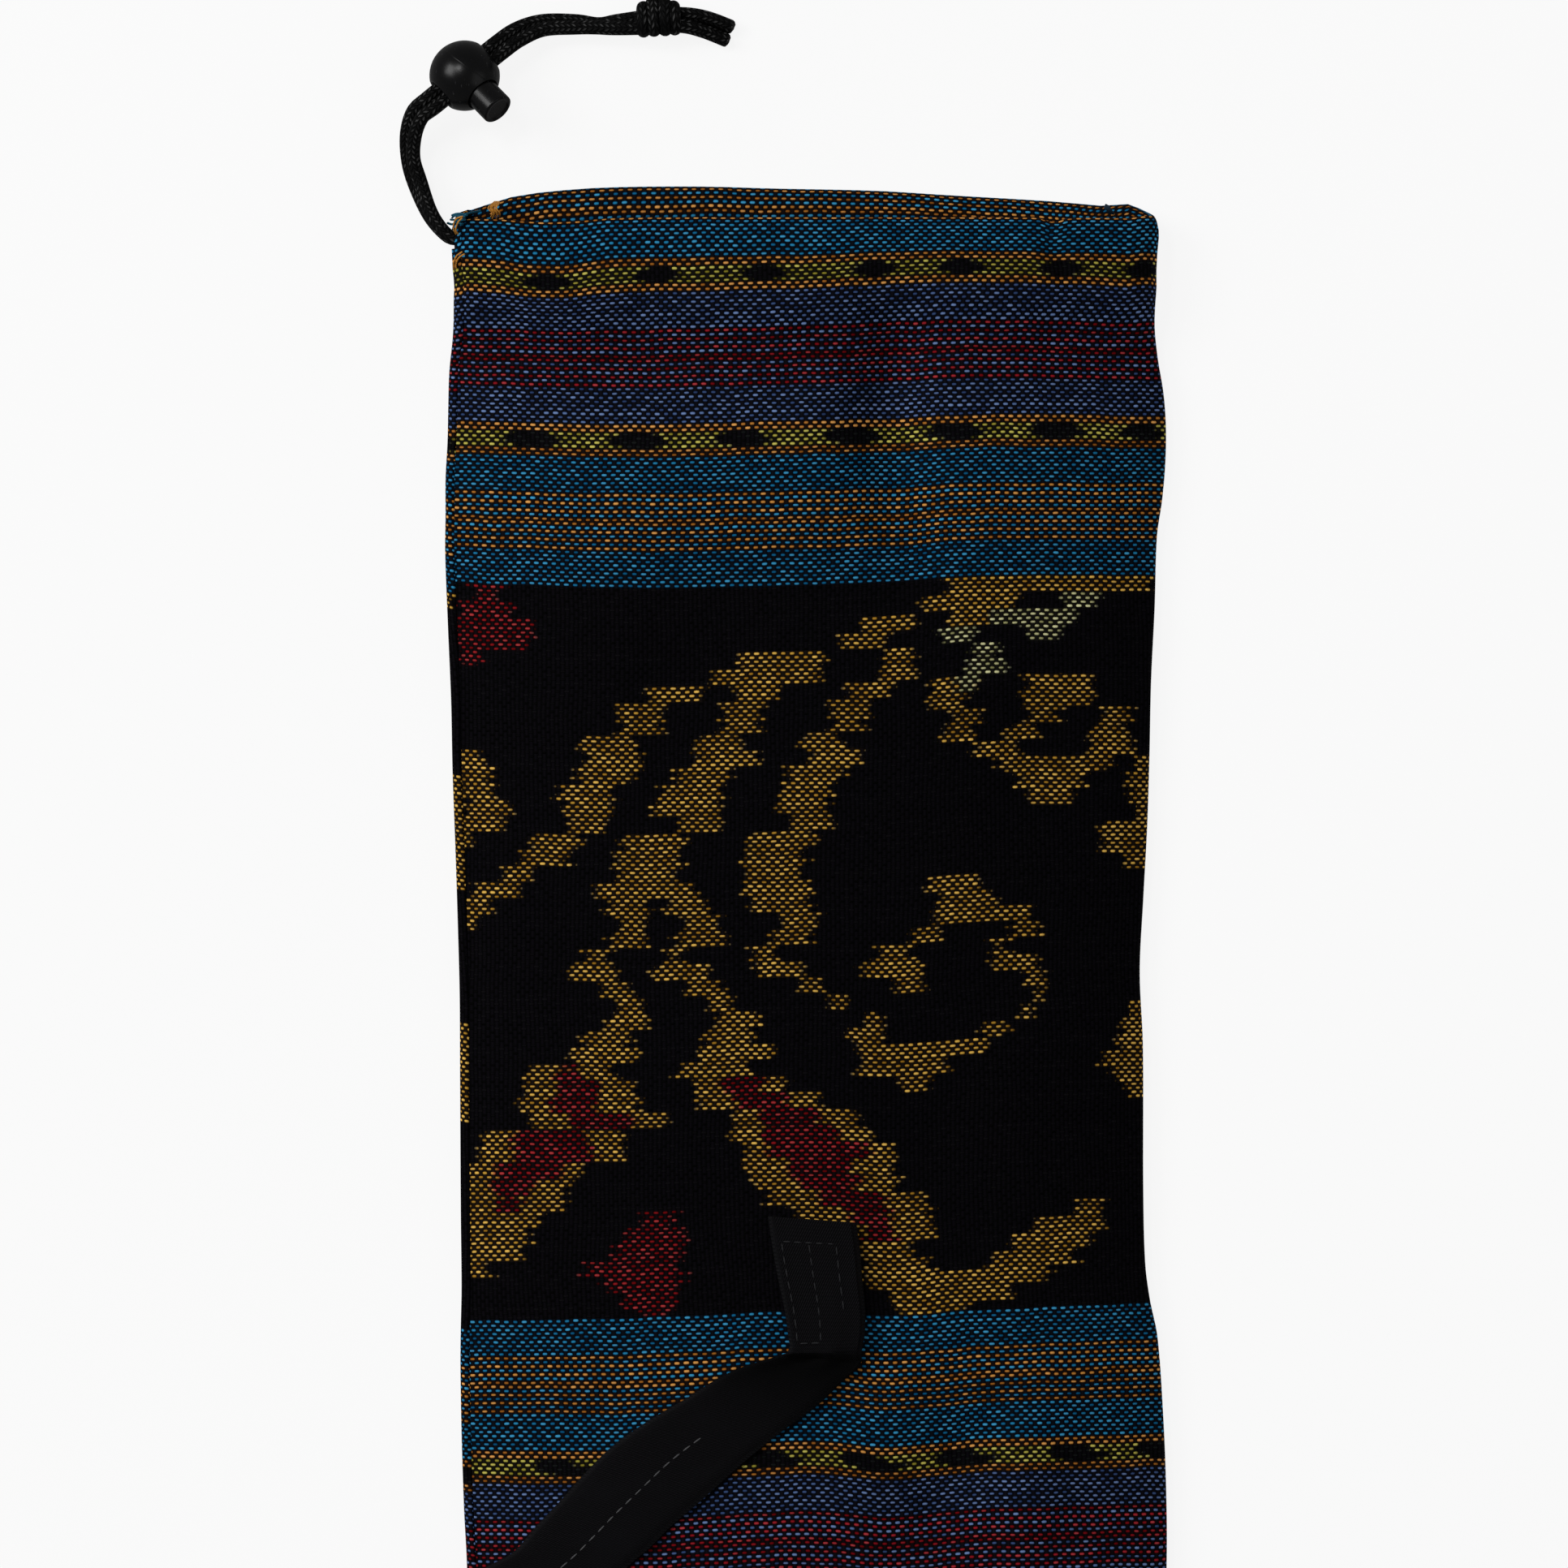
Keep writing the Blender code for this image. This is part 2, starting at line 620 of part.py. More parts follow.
def make_strap():
    """A flat band that follows what it lies on, with thicker ends where it is folded and sewn."""
    route = [(x, y, 0.0) for x, y in strap_centreline()]
    shares = even_shares(lambda t: smooth_through(route, t), STRAP_STEP)
    rings = []
    for number, share in enumerate(shares):
        from_end = min(number, len(shares) - 1 - number) * STRAP_STEP
        if from_end > STRAP_FINE_LENGTH and number % 2:
            continue
        x, y, _ = smooth_through(route, share)
        right = heading(route, share).cross(Vector((0, 0, 1)))
        sewn = 1 - ease((from_end - STRAP_END_LENGTH) / (STRAP_END_LENGTH / 4))
        thick = STRAP_THICKNESS + (STRAP_END_THICKNESS - STRAP_THICKNESS) * sewn
        under = []
        for k in range(STRAP_STEPS_ACROSS + 1):
            out = STRAP_WIDTH * (k / STRAP_STEPS_ACROSS - 0.5)
            px, py = x + right.x * out, y + right.y * out
            under.append(Vector((px, py, strap_height(px, py))))
        over = [point + Vector((0, 0, thick)) for point in reversed(under)]
        rings.append(under + over)
    return smooth_shaded(loft(rings, "shoulder_strap"))


def main():
    clear_scene()
    parts = new_collection("didgeridoo_bag")
    cutters = new_collection("cutters", hidden=True)

    add(make_body(), parts, CLOTH_FINISH)
    hem = add(make_hem(), parts, CLOTH_FINISH)
    cut(hem, as_cutter(make_exit_cutter(), cutters))
    add(make_strap(), parts, STRAP_FINISH)
    add(make_cord("drawcord_in_hem", channel_points()), parts, CORD_FINISH)
    add(make_cord("drawcord_strand_upper", strand_points(1)), parts, CORD_FINISH)
    add(make_cord("drawcord_strand_lower", strand_points(-1)), parts, CORD_FINISH)
    make_ball(parts, cutters)
    make_button(parts, cutters)
    add(make_knot(), parts, CORD_FINISH)


main()
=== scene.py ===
# %% [markdown]
# # A didgeridoo bag of ikat cloth
#
# This file dresses a plain solid model of a drawstring bag. The bag is one long panel of striped
# and ikat-dyed cloth, folded along the right side and sewn along the left. A cord runs in the hem
# at its mouth, and its two ends pass a ball lock and end behind a knot. A black strap is sewn on
# near both ends. Everything is in metres, with +Z up and +Y towards the mouth.
#
# The solids are loaded first. They say where each part is, so nothing has to be fitted later.

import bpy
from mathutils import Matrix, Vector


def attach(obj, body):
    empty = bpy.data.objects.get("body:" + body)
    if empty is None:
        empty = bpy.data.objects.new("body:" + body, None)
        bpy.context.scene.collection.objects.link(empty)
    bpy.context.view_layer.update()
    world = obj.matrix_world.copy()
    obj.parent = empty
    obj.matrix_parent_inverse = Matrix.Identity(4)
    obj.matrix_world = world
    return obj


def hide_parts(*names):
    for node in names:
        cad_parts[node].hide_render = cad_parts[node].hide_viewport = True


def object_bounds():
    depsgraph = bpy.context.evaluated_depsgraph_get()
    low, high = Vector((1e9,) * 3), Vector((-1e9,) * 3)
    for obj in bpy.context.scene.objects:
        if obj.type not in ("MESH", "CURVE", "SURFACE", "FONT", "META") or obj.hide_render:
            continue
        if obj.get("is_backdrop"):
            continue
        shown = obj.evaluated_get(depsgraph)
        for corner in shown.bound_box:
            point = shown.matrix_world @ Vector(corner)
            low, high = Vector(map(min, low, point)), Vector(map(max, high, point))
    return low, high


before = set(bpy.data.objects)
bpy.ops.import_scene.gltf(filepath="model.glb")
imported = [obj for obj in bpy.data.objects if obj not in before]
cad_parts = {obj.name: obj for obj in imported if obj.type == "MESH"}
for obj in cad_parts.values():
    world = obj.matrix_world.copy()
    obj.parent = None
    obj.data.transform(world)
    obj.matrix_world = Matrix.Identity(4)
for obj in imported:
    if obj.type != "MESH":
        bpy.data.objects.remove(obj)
cad_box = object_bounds()
print("box of the solids, in metres:", [[round(v, 4) for v in corner] for corner in cad_box])

# %% [markdown]
# ## The camera
#
# The photograph looks straight down on the mouth end of the bag. Sizes on the cloth were measured
# in pixels, and the ball of the lock gave the scale. A long lens keeps the edges of the bag
# parallel, as they are in the photograph. A short lens close by would show the sides of the ball.

# %% Camera over the mouth end
import math

import bpy

MM = 0.001
PIXEL = 0.207 * MM  # what one pixel of the photograph covers on the cloth
IMAGE_SIDE = 1932
MIDDLE_COLUMN = 993  # pixel column of x = 0
TOP_ROW = 235  # pixel row of the highest point of the mouth's rim
TOP_Y = 0.700  # and its y
CLOTH_LEVEL = 10 * MM
LENS = 300.0
SENSOR = 36.0


def at_pixel(column, row):
    """The place on the cloth, (x, y), that a pixel of the photograph shows."""
    return (column - MIDDLE_COLUMN) * PIXEL, TOP_Y - (row - TOP_ROW) * PIXEL


lens = bpy.data.cameras.new("camera")
lens.lens = LENS
lens.sensor_width = SENSOR
lens.clip_start = 0.01
camera = bpy.data.objects.new("camera", lens)
bpy.context.scene.collection.objects.link(camera)
away = IMAGE_SIDE * PIXEL * LENS / SENSOR
camera.location = (*at_pixel(IMAGE_SIDE / 2, IMAGE_SIDE / 2), CLOTH_LEVEL + away)
bpy.context.scene.camera = camera
print("camera", round(away, 3), "m above the cloth, view", round(IMAGE_SIDE * PIXEL, 3), "m wide")

# %% [markdown]
# ## Smooth lines
#
# Cords, folds and edges are given as short tables of measured places. Three helpers read a table
# smoothly: a curve through rows at even shares, a curve through uneven places, and a soft step.

# %% Curves through tables
from mathutils import Matrix, Vector, noise

SLOPE_SHARE = 0.002


def smooth_through(rows, share):
    """The values at a share of the way along the rows, on a smooth curve through them all."""
    place = min(max(share, 0.0), 1.0) * (len(rows) - 1)
    i = min(int(place), len(rows) - 2)
    t = place - i
    weights = (
        (-t + 2 * t**2 - t**3) / 2,
        (2 - 5 * t**2 + 3 * t**3) / 2,
        (t + 4 * t**2 - 3 * t**3) / 2,
        (-(t**2) + t**3) / 2,
    )
    near = [rows[min(max(i + k, 0), len(rows) - 1)] for k in (-1, 0, 1, 2)]
    return [sum(w * value for w, value in zip(weights, column)) for column in zip(*near)]


def between(rows, at):
    """The value at a place on a smooth curve through rows of (place, value)."""
    last = len(rows) - 1
    k = next((n for n in range(last - 1) if at < rows[n + 1][0]), last - 1)
    (x0, y0), (x1, y1) = rows[k], rows[k + 1]

    def slope(n):
        before, after = rows[max(n - 1, 0)], rows[min(n + 1, last)]
        return (after[1] - before[1]) / (after[0] - before[0]) * (x1 - x0)

    t = min(max((at - x0) / (x1 - x0), 0.0), 1.0)
    rise = y0 * (2 * t**3 - 3 * t**2 + 1) + y1 * (3 * t**2 - 2 * t**3)
    return rise + slope(k) * (t**3 - 2 * t**2 + t) + slope(k + 1) * (t**3 - t**2)


def ease(share):
    """0 to 1 with soft ends."""
    t = min(max(share, 0.0), 1.0)
    return t * t * (3 - 2 * t)


def heading(rows, share):
    """The direction of the curve through the rows at a share of the way along."""
    ahead, behind = (smooth_through(rows, share + step)[:3] for step in (SLOPE_SHARE, -SLOPE_SHARE))
    return (Vector(ahead) - Vector(behind)).normalized()


def even_shares(rows, step, samples=1200):
    """Shares of 0 to 1 that lie about one step apart along the curve through the rows."""
    fine = [Vector(smooth_through(rows, i / samples)[:3]) for i in range(samples + 1)]
    along = [0.0]
    for a, b in zip(fine, fine[1:]):
        along.append(along[-1] + (b - a).length)
    count = round(along[-1] / step)
    shares, k = [], 0
    for n in range(count + 1):
        while k < samples - 1 and along[k + 1] < along[-1] * n / count:
            k += 1
        part = (along[-1] * n / count - along[k]) / (along[k + 1] - along[k])
        shares.append((k + min(part, 1.0)) / samples)
    return shares


print("halfway through three rows:", between([(0, 0), (1, 2), (3, 3)], 0.5))

# %% [markdown]
# ## Woven and braided surfaces
#
# Cloth, strap and cord are all a flat grid of faces that is laid into place. `create_grid` makes
# the grid, with a UV map that counts yarns or millimetres, and each corner is then moved to its
# place. The map stays with the surface, so a weave follows every bend of it. A cord is a grid
# rolled into a tube round its line.

# %% Grids laid into place
import bmesh


def laid_grid(columns, rows, place, mapped):
    """A grid of faces: place(i, j) gives a corner's position and mapped(i, j) its UV."""
    shape = bmesh.new()
    bmesh.ops.create_grid(shape, x_segments=columns, y_segments=rows, size=0.5)
    weave = shape.loops.layers.uv.new("weave")
    corners = {
        vert: (round((vert.co.x + 0.5) * columns), round((vert.co.y + 0.5) * rows))
        for vert in shape.verts
    }
    for face in shape.faces:
        for loop in face.loops:
            loop[weave].uv = mapped(*corners[loop.vert])
    for vert, (i, j) in corners.items():
        vert.co = place(i, j)
    return shape, corners


def frames_along(points):
    """(point, side, up, distance so far) along a line, without any sudden twist."""
    ways = [(b - a).normalized() for a, b in zip(points, points[1:])]
    ways = [ways[0]] + [(a + b).normalized() for a, b in zip(ways, ways[1:])] + [ways[-1]]
    up = ways[0].orthogonal().normalized()
    frames, so_far = [], 0.0
    for n, (point, way) in enumerate(zip(points, ways)):
        if n:
            up = ways[n - 1].rotation_difference(way) @ up
            so_far += (point - points[n - 1]).length
        frames.append((point, way.cross(up), up, so_far))
    return frames


def tube_along(points, radius, sides):
    """A closed tube round a line. Its UV is (share of the way round, millimetres along)."""
    frames = frames_along(points)

    def place(i, j):
        point, side, up, _ = frames[j]
        turn = 2 * math.pi * i / sides
        return point + (side * math.cos(turn) + up * math.sin(turn)) * radius

    def mapped(i, j):
        return i / sides, frames[j][3] / MM

    shape, _ = laid_grid(sides, len(points) - 1, place, mapped)
    bmesh.ops.remove_doubles(shape, verts=shape.verts, dist=0.001 * MM)
    bmesh.ops.holes_fill(shape, edges=[e for e in shape.edges if e.is_boundary], sides=0)
    bmesh.ops.recalc_face_normals(shape, faces=shape.faces)
    return shape


def finished(shape, name, body="bag", crease=50):
    """Turns a bmesh into a piece that rides on a body."""
    mesh = bpy.data.meshes.new(name)
    shape.to_mesh(mesh)
    shape.free()
    mesh.shade_smooth()
    mesh.set_sharp_from_angle(angle=math.radians(crease))
    piece = bpy.data.objects.new(name, mesh)
    bpy.context.scene.collection.objects.link(piece)
    print(name, "has", len(mesh.polygons), "faces")
    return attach(piece, body)


# %% [markdown]
# ## Materials from nodes
#
# Every finish here is built from nodes: patterns of yarns come from arithmetic on the UV map, and
# small differences from white noise on whole numbers, so that each yarn gets its own value. A
# small helper keeps that readable. Colours are written as they look on a screen, 0 to 255.


# %% A helper for nodes
def colour(red, green, blue):
    """A screen colour as the linear values that a shader takes."""

    def linear(value):
        share = value / 255
        return share / 12.92 if share <= 0.04045 else ((share + 0.055) / 1.055) ** 2.4

    return (linear(red), linear(green), linear(blue), 1.0)


class Finish:
    """A material and short words for the nodes that make it."""

    def __init__(self, name, roughness, specular):
        self.material = bpy.data.materials.new(name)
        self.material.use_nodes = True
        self.tree = self.material.node_tree
        self.shader = self.tree.nodes["Principled BSDF"]
        self.set(self.shader, "Roughness", roughness)
        self.set(self.shader, "Specular IOR Level", specular)

    def set(self, node, socket, value):
        if isinstance(value, bpy.types.NodeSocket):
            self.tree.links.new(value, node.inputs[socket])
        else:
            node.inputs[socket].default_value = value

    def node(self, kind, settings=None, **inputs):
        made = self.tree.nodes.new(kind)
        for word, value in (settings or {}).items():
            setattr(made, word, value)
        for socket, value in inputs.items():
            self.set(made, socket.replace("_", " "), value)
        return made

    def math(self, operation, *values):
        made = self.node("ShaderNodeMath", {"operation": operation})
        for n, value in enumerate(values):
            self.set(made, n, value)
        return made.outputs[0]

    def step(self, value, low, high, to_low=0.0, to_high=1.0):
        """A soft step of a value from low to high."""
        made = self.node("ShaderNodeMapRange", {"interpolation_type": "SMOOTHSTEP"})
        for n, number in enumerate((value, low, high, to_low, to_high)):
            self.set(made, n, number)
        return made.outputs[0]

    def blend(self, share, first, second, way="MIX"):
        made = self.node("ShaderNodeMix", {"data_type": "RGBA", "blend_type": way})
        for n, value in ((0, share), (6, first), (7, second)):
            self.set(made, n, value)
        return made.outputs[2]

    def scaled(self, shade, share):
        """A colour made darker or lighter by a share."""
        made = self.node("ShaderNodeVectorMath", {"operation": "SCALE"})
        self.set(made, 0, shade)
        self.set(made, "Scale", share)
        return made.outputs[0]

    def together(self, x, y):
        return self.node("ShaderNodeCombineXYZ", X=x, Y=y).outputs[0]

    def chance(self, x, y):
        """A value of 0 to 1 that is fixed for each pair of whole numbers."""
        made = self.node("ShaderNodeTexWhiteNoise", {"noise_dimensions": "2D"})
        self.set(made, "Vector", self.together(x, y))
        return made.outputs["Value"]

    def cloud(self, place, scale, detail=2.0):
        """Soft noise of 0 to 1."""
        made = self.node("ShaderNodeTexNoise", Vector=place, Scale=scale, Detail=detail)
        return made.outputs[0]

    def woven_map(self):
        """The two numbers of the UV map."""
        source = self.node("ShaderNodeUVMap", {"uv_map": "weave"})
        parts = self.node("ShaderNodeSeparateXYZ", Vector=source.outputs[0])
        return parts.outputs[0], parts.outputs[1]

    def object_place(self):
        return self.node("ShaderNodeTexCoord").outputs["Object"]

    def relief(self, height, depth, strength):
        """Bumps of a height of 0 to 1, this deep."""
        made = self.node("ShaderNodeBump", Strength=strength, Distance=depth, Height=height)
        self.set(self.shader, "Normal", made.outputs[0])


print("a mid grey of 128 on the screen is", round(colour(128, 128, 128)[0], 3), "to a shader")

# %% [markdown]
# ## The two ends of the drawcord
#
# Both ends of the braided cord come out of the open seam at the left corner of the hem, one over
# the other. They bend up through the lock's ball and across to the knot, and end side by side. A
# real cord is limp and round, 3.4 mm thick. It could be simulated, but its way is seen from end
# to end, so its measured middle line is used, and each strand is a tube beside that line.

# %% Where the strands go
CORD_RADIUS = 1.7 * MM
PAIR_SPACING = 3.6 * MM
BALL_RADIUS = 9.0 * MM
BUTTON_LIFT = 28.0
CORD_EXIT = Vector((-0.0896, 0.6880, 0.0070))
BALL_CENTRE = Vector((-0.087065, 0.7294, 0.0090))
HOLE_AXIS = Vector((0.764115, 0.629888, -0.139173))
BUTTON_AXIS = Vector((0.612040, -0.639744, 0.464903))

# x, y, z from where they leave the hem, and the turn of one strand about the other in degrees:
# 0 is side by side, 90 is one above the other.
HEM_TO_LOCK = [
    (0.0027, 0.0000, 0.0070, 90),
    (0.0008, 0.0000, 0.0070, 90),
    (-0.0020, 0.0008, 0.0069, 90),
    (-0.0062, 0.0060, 0.0056, 80),
    (-0.0097, 0.0145, 0.0038, 64),
    (-0.0114, 0.0207, 0.0045, 66),
    (-0.0112, 0.0268, 0.0068, 52),
    (-0.0094, 0.0316, 0.0093, 38),
]
LOCK_TO_KNOT = [
    (0.0161, 0.0521, 0.0058, 32),
    (0.0223, 0.0545, 0.0043, 50),
    (0.0306, 0.0548, 0.0037, 60),
    (0.0365, 0.0544, 0.0040, 74),
    (0.0416, 0.0547, 0.0047, 56),
]
THROUGH_KNOT = [(0.0461, 0.0552, 0.0054, 32), (0.0521, 0.0555, 0.0054, 30), (0.0581, 0.0558, 0.0054, 30)]
KNOT_TO_END = [(0.0638, 0.0548, 0.0036, 12), (0.0698, 0.0526, 0.0018, 0)]


def pair_route():
    """Rows of x, y, z and turn along the two strands, from inside the hem to their ends."""

    def placed(table):
        return [(CORD_EXIT.x + x, CORD_EXIT.y + y, z, turn) for x, y, z, turn in table]

    shares = (-1.25, -0.6, 0.6, 1.25)  # radii of the ball from its centre
    in_ball = [(*(BALL_CENTRE + HOLE_AXIS * BALL_RADIUS * s), BUTTON_LIFT) for s in shares]
    return placed(HEM_TO_LOCK) + in_ball + placed(LOCK_TO_KNOT + THROUGH_KNOT[1:] + KNOT_TO_END)


def strand_line(side, step=1.2 * MM):
    """One strand's middle line: side is +1 for the upper strand and -1 for the lower one."""
    rows = pair_route()
    points = []
    for share in even_shares(rows, step):
        x, y, z, turn = smooth_through(rows, share)
        ahead = heading(rows, share)
        right = ahead.cross(Vector((0, 0, 1))).normalized()
        over = right.cross(ahead)
        out = right * math.cos(math.radians(turn)) + over * math.sin(math.radians(turn))
        points.append(Vector((x, y, z)) + out * side * PAIR_SPACING / 2)
    return points


def length_of(points):
    return sum((b - a).length for a, b in zip(points, points[1:]))


upper_line, lower_line = strand_line(1), strand_line(-1)
print("strands:", round(length_of(upper_line), 4), "and", round(length_of(lower_line), 4), "m")

# %% The strands as braided tubes
CORD_SIDES = 20
SWELL = 0.14 * MM  # a braid is a little fuller than its nominal size
upper_strand = finished(tube_along(upper_line, CORD_RADIUS + SWELL, CORD_SIDES), "strand_upper")
lower_strand = finished(tube_along(lower_line, CORD_RADIUS + SWELL, CORD_SIDES), "strand_lower")
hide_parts("drawcord_strand_upper")
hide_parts("drawcord_strand_lower")

# %% [markdown]
# ## The braid of the cord
#
# The cord is a round braid of black yarns. Half of them wind to the left and half to the right,
# so what shows is columns of small V shapes along the cord, with grey glints on some of them.
# The pattern counts the columns round the cord and the Vs along it on the UV map. In each
# column the count is slanted up on one side and down on the other, which makes both arms of a V.


# %% Braid finish
def braid(name, columns, pitch, lean):
    """Braided yarns: columns of Vs round the cord, a new V each pitch in mm."""
    made = Finish(name, roughness=0.6, specular=0.1)
    around, along = made.woven_map()
    turned = made.math("MULTIPLY", around, columns)
    column = made.math("FLOOR", turned)
    off_middle = made.math("ABSOLUTE", made.math("SUBTRACT", made.math("FRACT", turned), 0.5))
    half_step = made.math("MULTIPLY", made.math("FLOORED_MODULO", column, 2.0), 0.5)
    risen = made.math("ADD", made.math("DIVIDE", along, pitch), half_step)
    risen = made.math("ADD", risen, made.math("MULTIPLY", off_middle, lean))
    number = made.math("FLOOR", risen)
    across = made.math("ABSOLUTE", made.math("SUBTRACT", made.math("FRACT", risen), 0.5))
    lengthways = made.math("ABSOLUTE", made.math("SUBTRACT", off_middle, 0.26))
    ridge = made.step(across, 0.48, 0.10)
    arch = made.step(lengthways, 0.28, 0.08)
    height = made.math("MULTIPLY", ridge, arch)
    side = made.math("GREATER_THAN", made.math("FRACT", turned), 0.5)
    luck = made.chance(number, made.math("ADD", column, made.math("MULTIPLY", side, 0.5)))
    glint = made.math("MULTIPLY", made.step(luck, 0.25, 1.0), made.step(height, 0.55, 1.0))
    fine = made.together(made.math("MULTIPLY", around, 80.0), made.math("MULTIPLY", along, 6.0))
    fibres = made.cloud(fine, 3.0)
    shine = made.math("MULTIPLY", glint, made.step(fibres, 0.35, 0.62))
    # Painted shade and highlights: the grooves between the yarns are painted darker than their crowns, and
    # the grey glints are highlights painted into the colour.
    dark = made.blend(height, colour(2, 2, 2), colour(12, 12, 13))
    made.set(made.shader, "Base Color", made.blend(shine, dark, colour(96, 96, 96)))
    made.relief(made.math("ADD", height, made.math("MULTIPLY", fibres, 0.12)), 0.4 * MM, 0.8)
    return made.material


cord_braid = braid("cord_braid", columns=5.0, pitch=1.45, lean=1.5)
for strand in (upper_strand, lower_strand):
    strand.data.materials.append(cord_braid)
print("braid finish has", len(cord_braid.node_tree.nodes), "nodes")

# %% [markdown]
# ## The knot
#
# The two ends are tied together in a stopper knot. From above it shows a lobe on each side and a
# bight of cord over the middle. The wraps are one more tube, on a line that winds round the
# strands: a turn on the left, two higher ones over the middle and one on the right. Its ends go in
# under the turns, where the real cord goes through itself.

# %% Wraps of the knot
KNOT_CENTRE = Vector((CORD_EXIT.x + THROUGH_KNOT[1][0], CORD_EXIT.y + THROUGH_KNOT[1][1], THROUGH_KNOT[1][2]))
KNOT_AXIS = (Vector(THROUGH_KNOT[2][:3]) - Vector(THROUGH_KNOT[0][:3])).normalized()
WRAP_SWELL = 0.08 * MM  # the cord is pulled tighter here than where it is free
# Degrees round the strands (90 is the top), mm along them, mm out from their middle
WRAPS = [
    (100, -1.0, 1.0),
    (200, -3.2, 2.8),
    (270, -3.9, 3.2),
    (340, -4.0, 2.2),
    (400, -4.1, 2.5),
    (450, -3.9, 3.3),
    (510, -3.9, 3.6),
    (560, -3.6, 3.5),
    (630, -2.8, 3.4),
    (690, -1.6, 2.3),
    (730, -1.4, 2.1),
    (770, -1.3, 3.2),
    (820, -1.3, 4.1),
    (880, -1.4, 4.9),
    (930, -1.2, 4.6),
    (990, 0.0, 3.5),
    (1050, 1.3, 2.3),
    (1090, 1.5, 2.1),
    (1130, 1.5, 3.2),
    (1180, 1.4, 4.0),
    (1240, 1.4, 4.8),
    (1290, 1.7, 4.5),
    (1350, 2.8, 3.5),
    (1410, 3.8, 2.2),
    (1450, 3.9, 2.0),
    (1490, 3.9, 2.7),
    (1540, 3.8, 3.2),
    (1600, 3.8, 3.5),
    (1650, 3.2, 3.0),
    (1720, 1.0, 1.0),
]


def knot_line(step=0.8 * MM):
    side = KNOT_AXIS.cross(Vector((0, 0, 1))).normalized()
    over = side.cross(KNOT_AXIS)
    rows = []
    for degrees, along, out in WRAPS:
        turn = math.radians(degrees)
        around = side * math.cos(turn) + over * math.sin(turn)
        rows.append(tuple(KNOT_CENTRE + KNOT_AXIS * along * MM + around * out * MM))
    return [Vector(smooth_through(rows, share)) for share in even_shares(rows, step)]


knot = finished(tube_along(knot_line(), CORD_RADIUS + WRAP_SWELL, CORD_SIDES), "knot_wraps")
knot.data.materials.append(cord_braid)
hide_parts("stopper_knot")

# %% [markdown]
# ## The melted tips
#
# The cut ends of the cord were melted so that they don't fray. Each is a dark, shiny, slightly
# lumpy bead, nearly as wide as the cord. A sphere is squashed along the cord and roughened with
# noise, which is fixed by the place and so is the same each time.


# %% Beads at the ends
TIP_RADIUS, TIP_HALF_LENGTH = 1.72 * MM, 0.85 * MM
TIP_AHEAD = 0.1 * MM
LUMP_SIZE, LUMP_HEIGHT = 0.55, 0.16  # shares of the bead's radius
FLOOR_GAP = 0.05 * MM


def lumpy(vert, size, amount):
    """A small push in or out that changes smoothly from place to place."""
    return vert.co.normalized() * noise.noise(vert.co / size) * amount


tips = bmesh.new()
for line in (upper_line, lower_line):
    bead = bmesh.new()
    bmesh.ops.create_uvsphere(bead, u_segments=24, v_segments=16, radius=1.0)
    for vert in bead.verts:
        vert.co += lumpy(vert, LUMP_SIZE, LUMP_HEIGHT)
    bmesh.ops.scale(bead, vec=(TIP_RADIUS, TIP_RADIUS, TIP_HALF_LENGTH), verts=bead.verts)
    way = (line[-1] - line[-3]).normalized()
    turn = way.to_track_quat("Z", "Y").to_matrix().to_4x4()
    place = Matrix.Translation(line[-1] + way * TIP_AHEAD)
    bmesh.ops.transform(bead, matrix=place @ turn, verts=bead.verts)
    piece = bpy.data.meshes.new("bead")
    bead.to_mesh(piece)
    bead.free()
    tips.from_mesh(piece)
    bpy.data.meshes.remove(piece)
lowest = min(vert.co.z for vert in tips.verts)
bmesh.ops.translate(tips, vec=(0, 0, max(0.0, FLOOR_GAP - lowest)), verts=tips.verts)
melted_tips = finished(tips, "melted_tips")

melt = Finish("melted_cord", roughness=0.32, specular=0.5)
speckle = melt.cloud(melt.object_place(), 1800.0, 3.0)
melt.set(melt.shader, "Base Color", melt.blend(speckle, colour(6, 6, 6), colour(30, 29, 28)))
melt.relief(speckle, 0.3 * MM, 0.6)
melted_tips.data.materials.append(melt.material)

# %% [markdown]
# The two strands' real lengths are given here. The camera sees all of both.

UPPER_LENGTH, LOWER_LENGTH = 0.126, 0.133
for strand, line, length in (
    (upper_strand, upper_line, UPPER_LENGTH),
    (lower_strand, lower_line, LOWER_LENGTH),
):
    [tuple(point) for point in line]
print("cord declared:", round(2 * CORD_RADIUS / MM, 1), "mm thick")

# %% [markdown]
# ## The ball of the cord lock
#
# The lock is a moulded plastic ball of 18 mm with a hole for both strands. Its profile, with the
# hole's wall and a rounded lip at each end, is drawn once and spun round the hole's axis. The
# bore for the button crosses that hole at a right angle, so it is cut with a Boolean. Its
# cutter flares at the surface, which leaves a small chamfer where the button comes out.

# %% Spin the ball
HOLE_RADIUS = 3.9 * MM
LIP = 0.55 * MM


def spun(profile, steps=72, closed=False):
    """A profile of (radius, height) points turned once round the Z axis."""
    shape = bmesh.new()
    verts = [shape.verts.new((radius, 0.0, height)) for radius, height in profile]
    pairs = list(zip(verts, verts[1:])) + ([(verts[-1], verts[0])] if closed else [])
    edges = [shape.edges.new(pair) for pair in pairs]
    bmesh.ops.spin(
        shape,
        geom=verts + edges,
        cent=(0, 0, 0),
        axis=(0, 0, 1),
        dvec=(0, 0, 0),
        angle=2 * math.pi,
        steps=steps,
        use_merge=True,
        use_duplicate=False,
    )
    bmesh.ops.remove_doubles(shape, verts=shape.verts, dist=0.001 * MM)
    bmesh.ops.recalc_face_normals(shape, faces=shape.faces)
    return shape


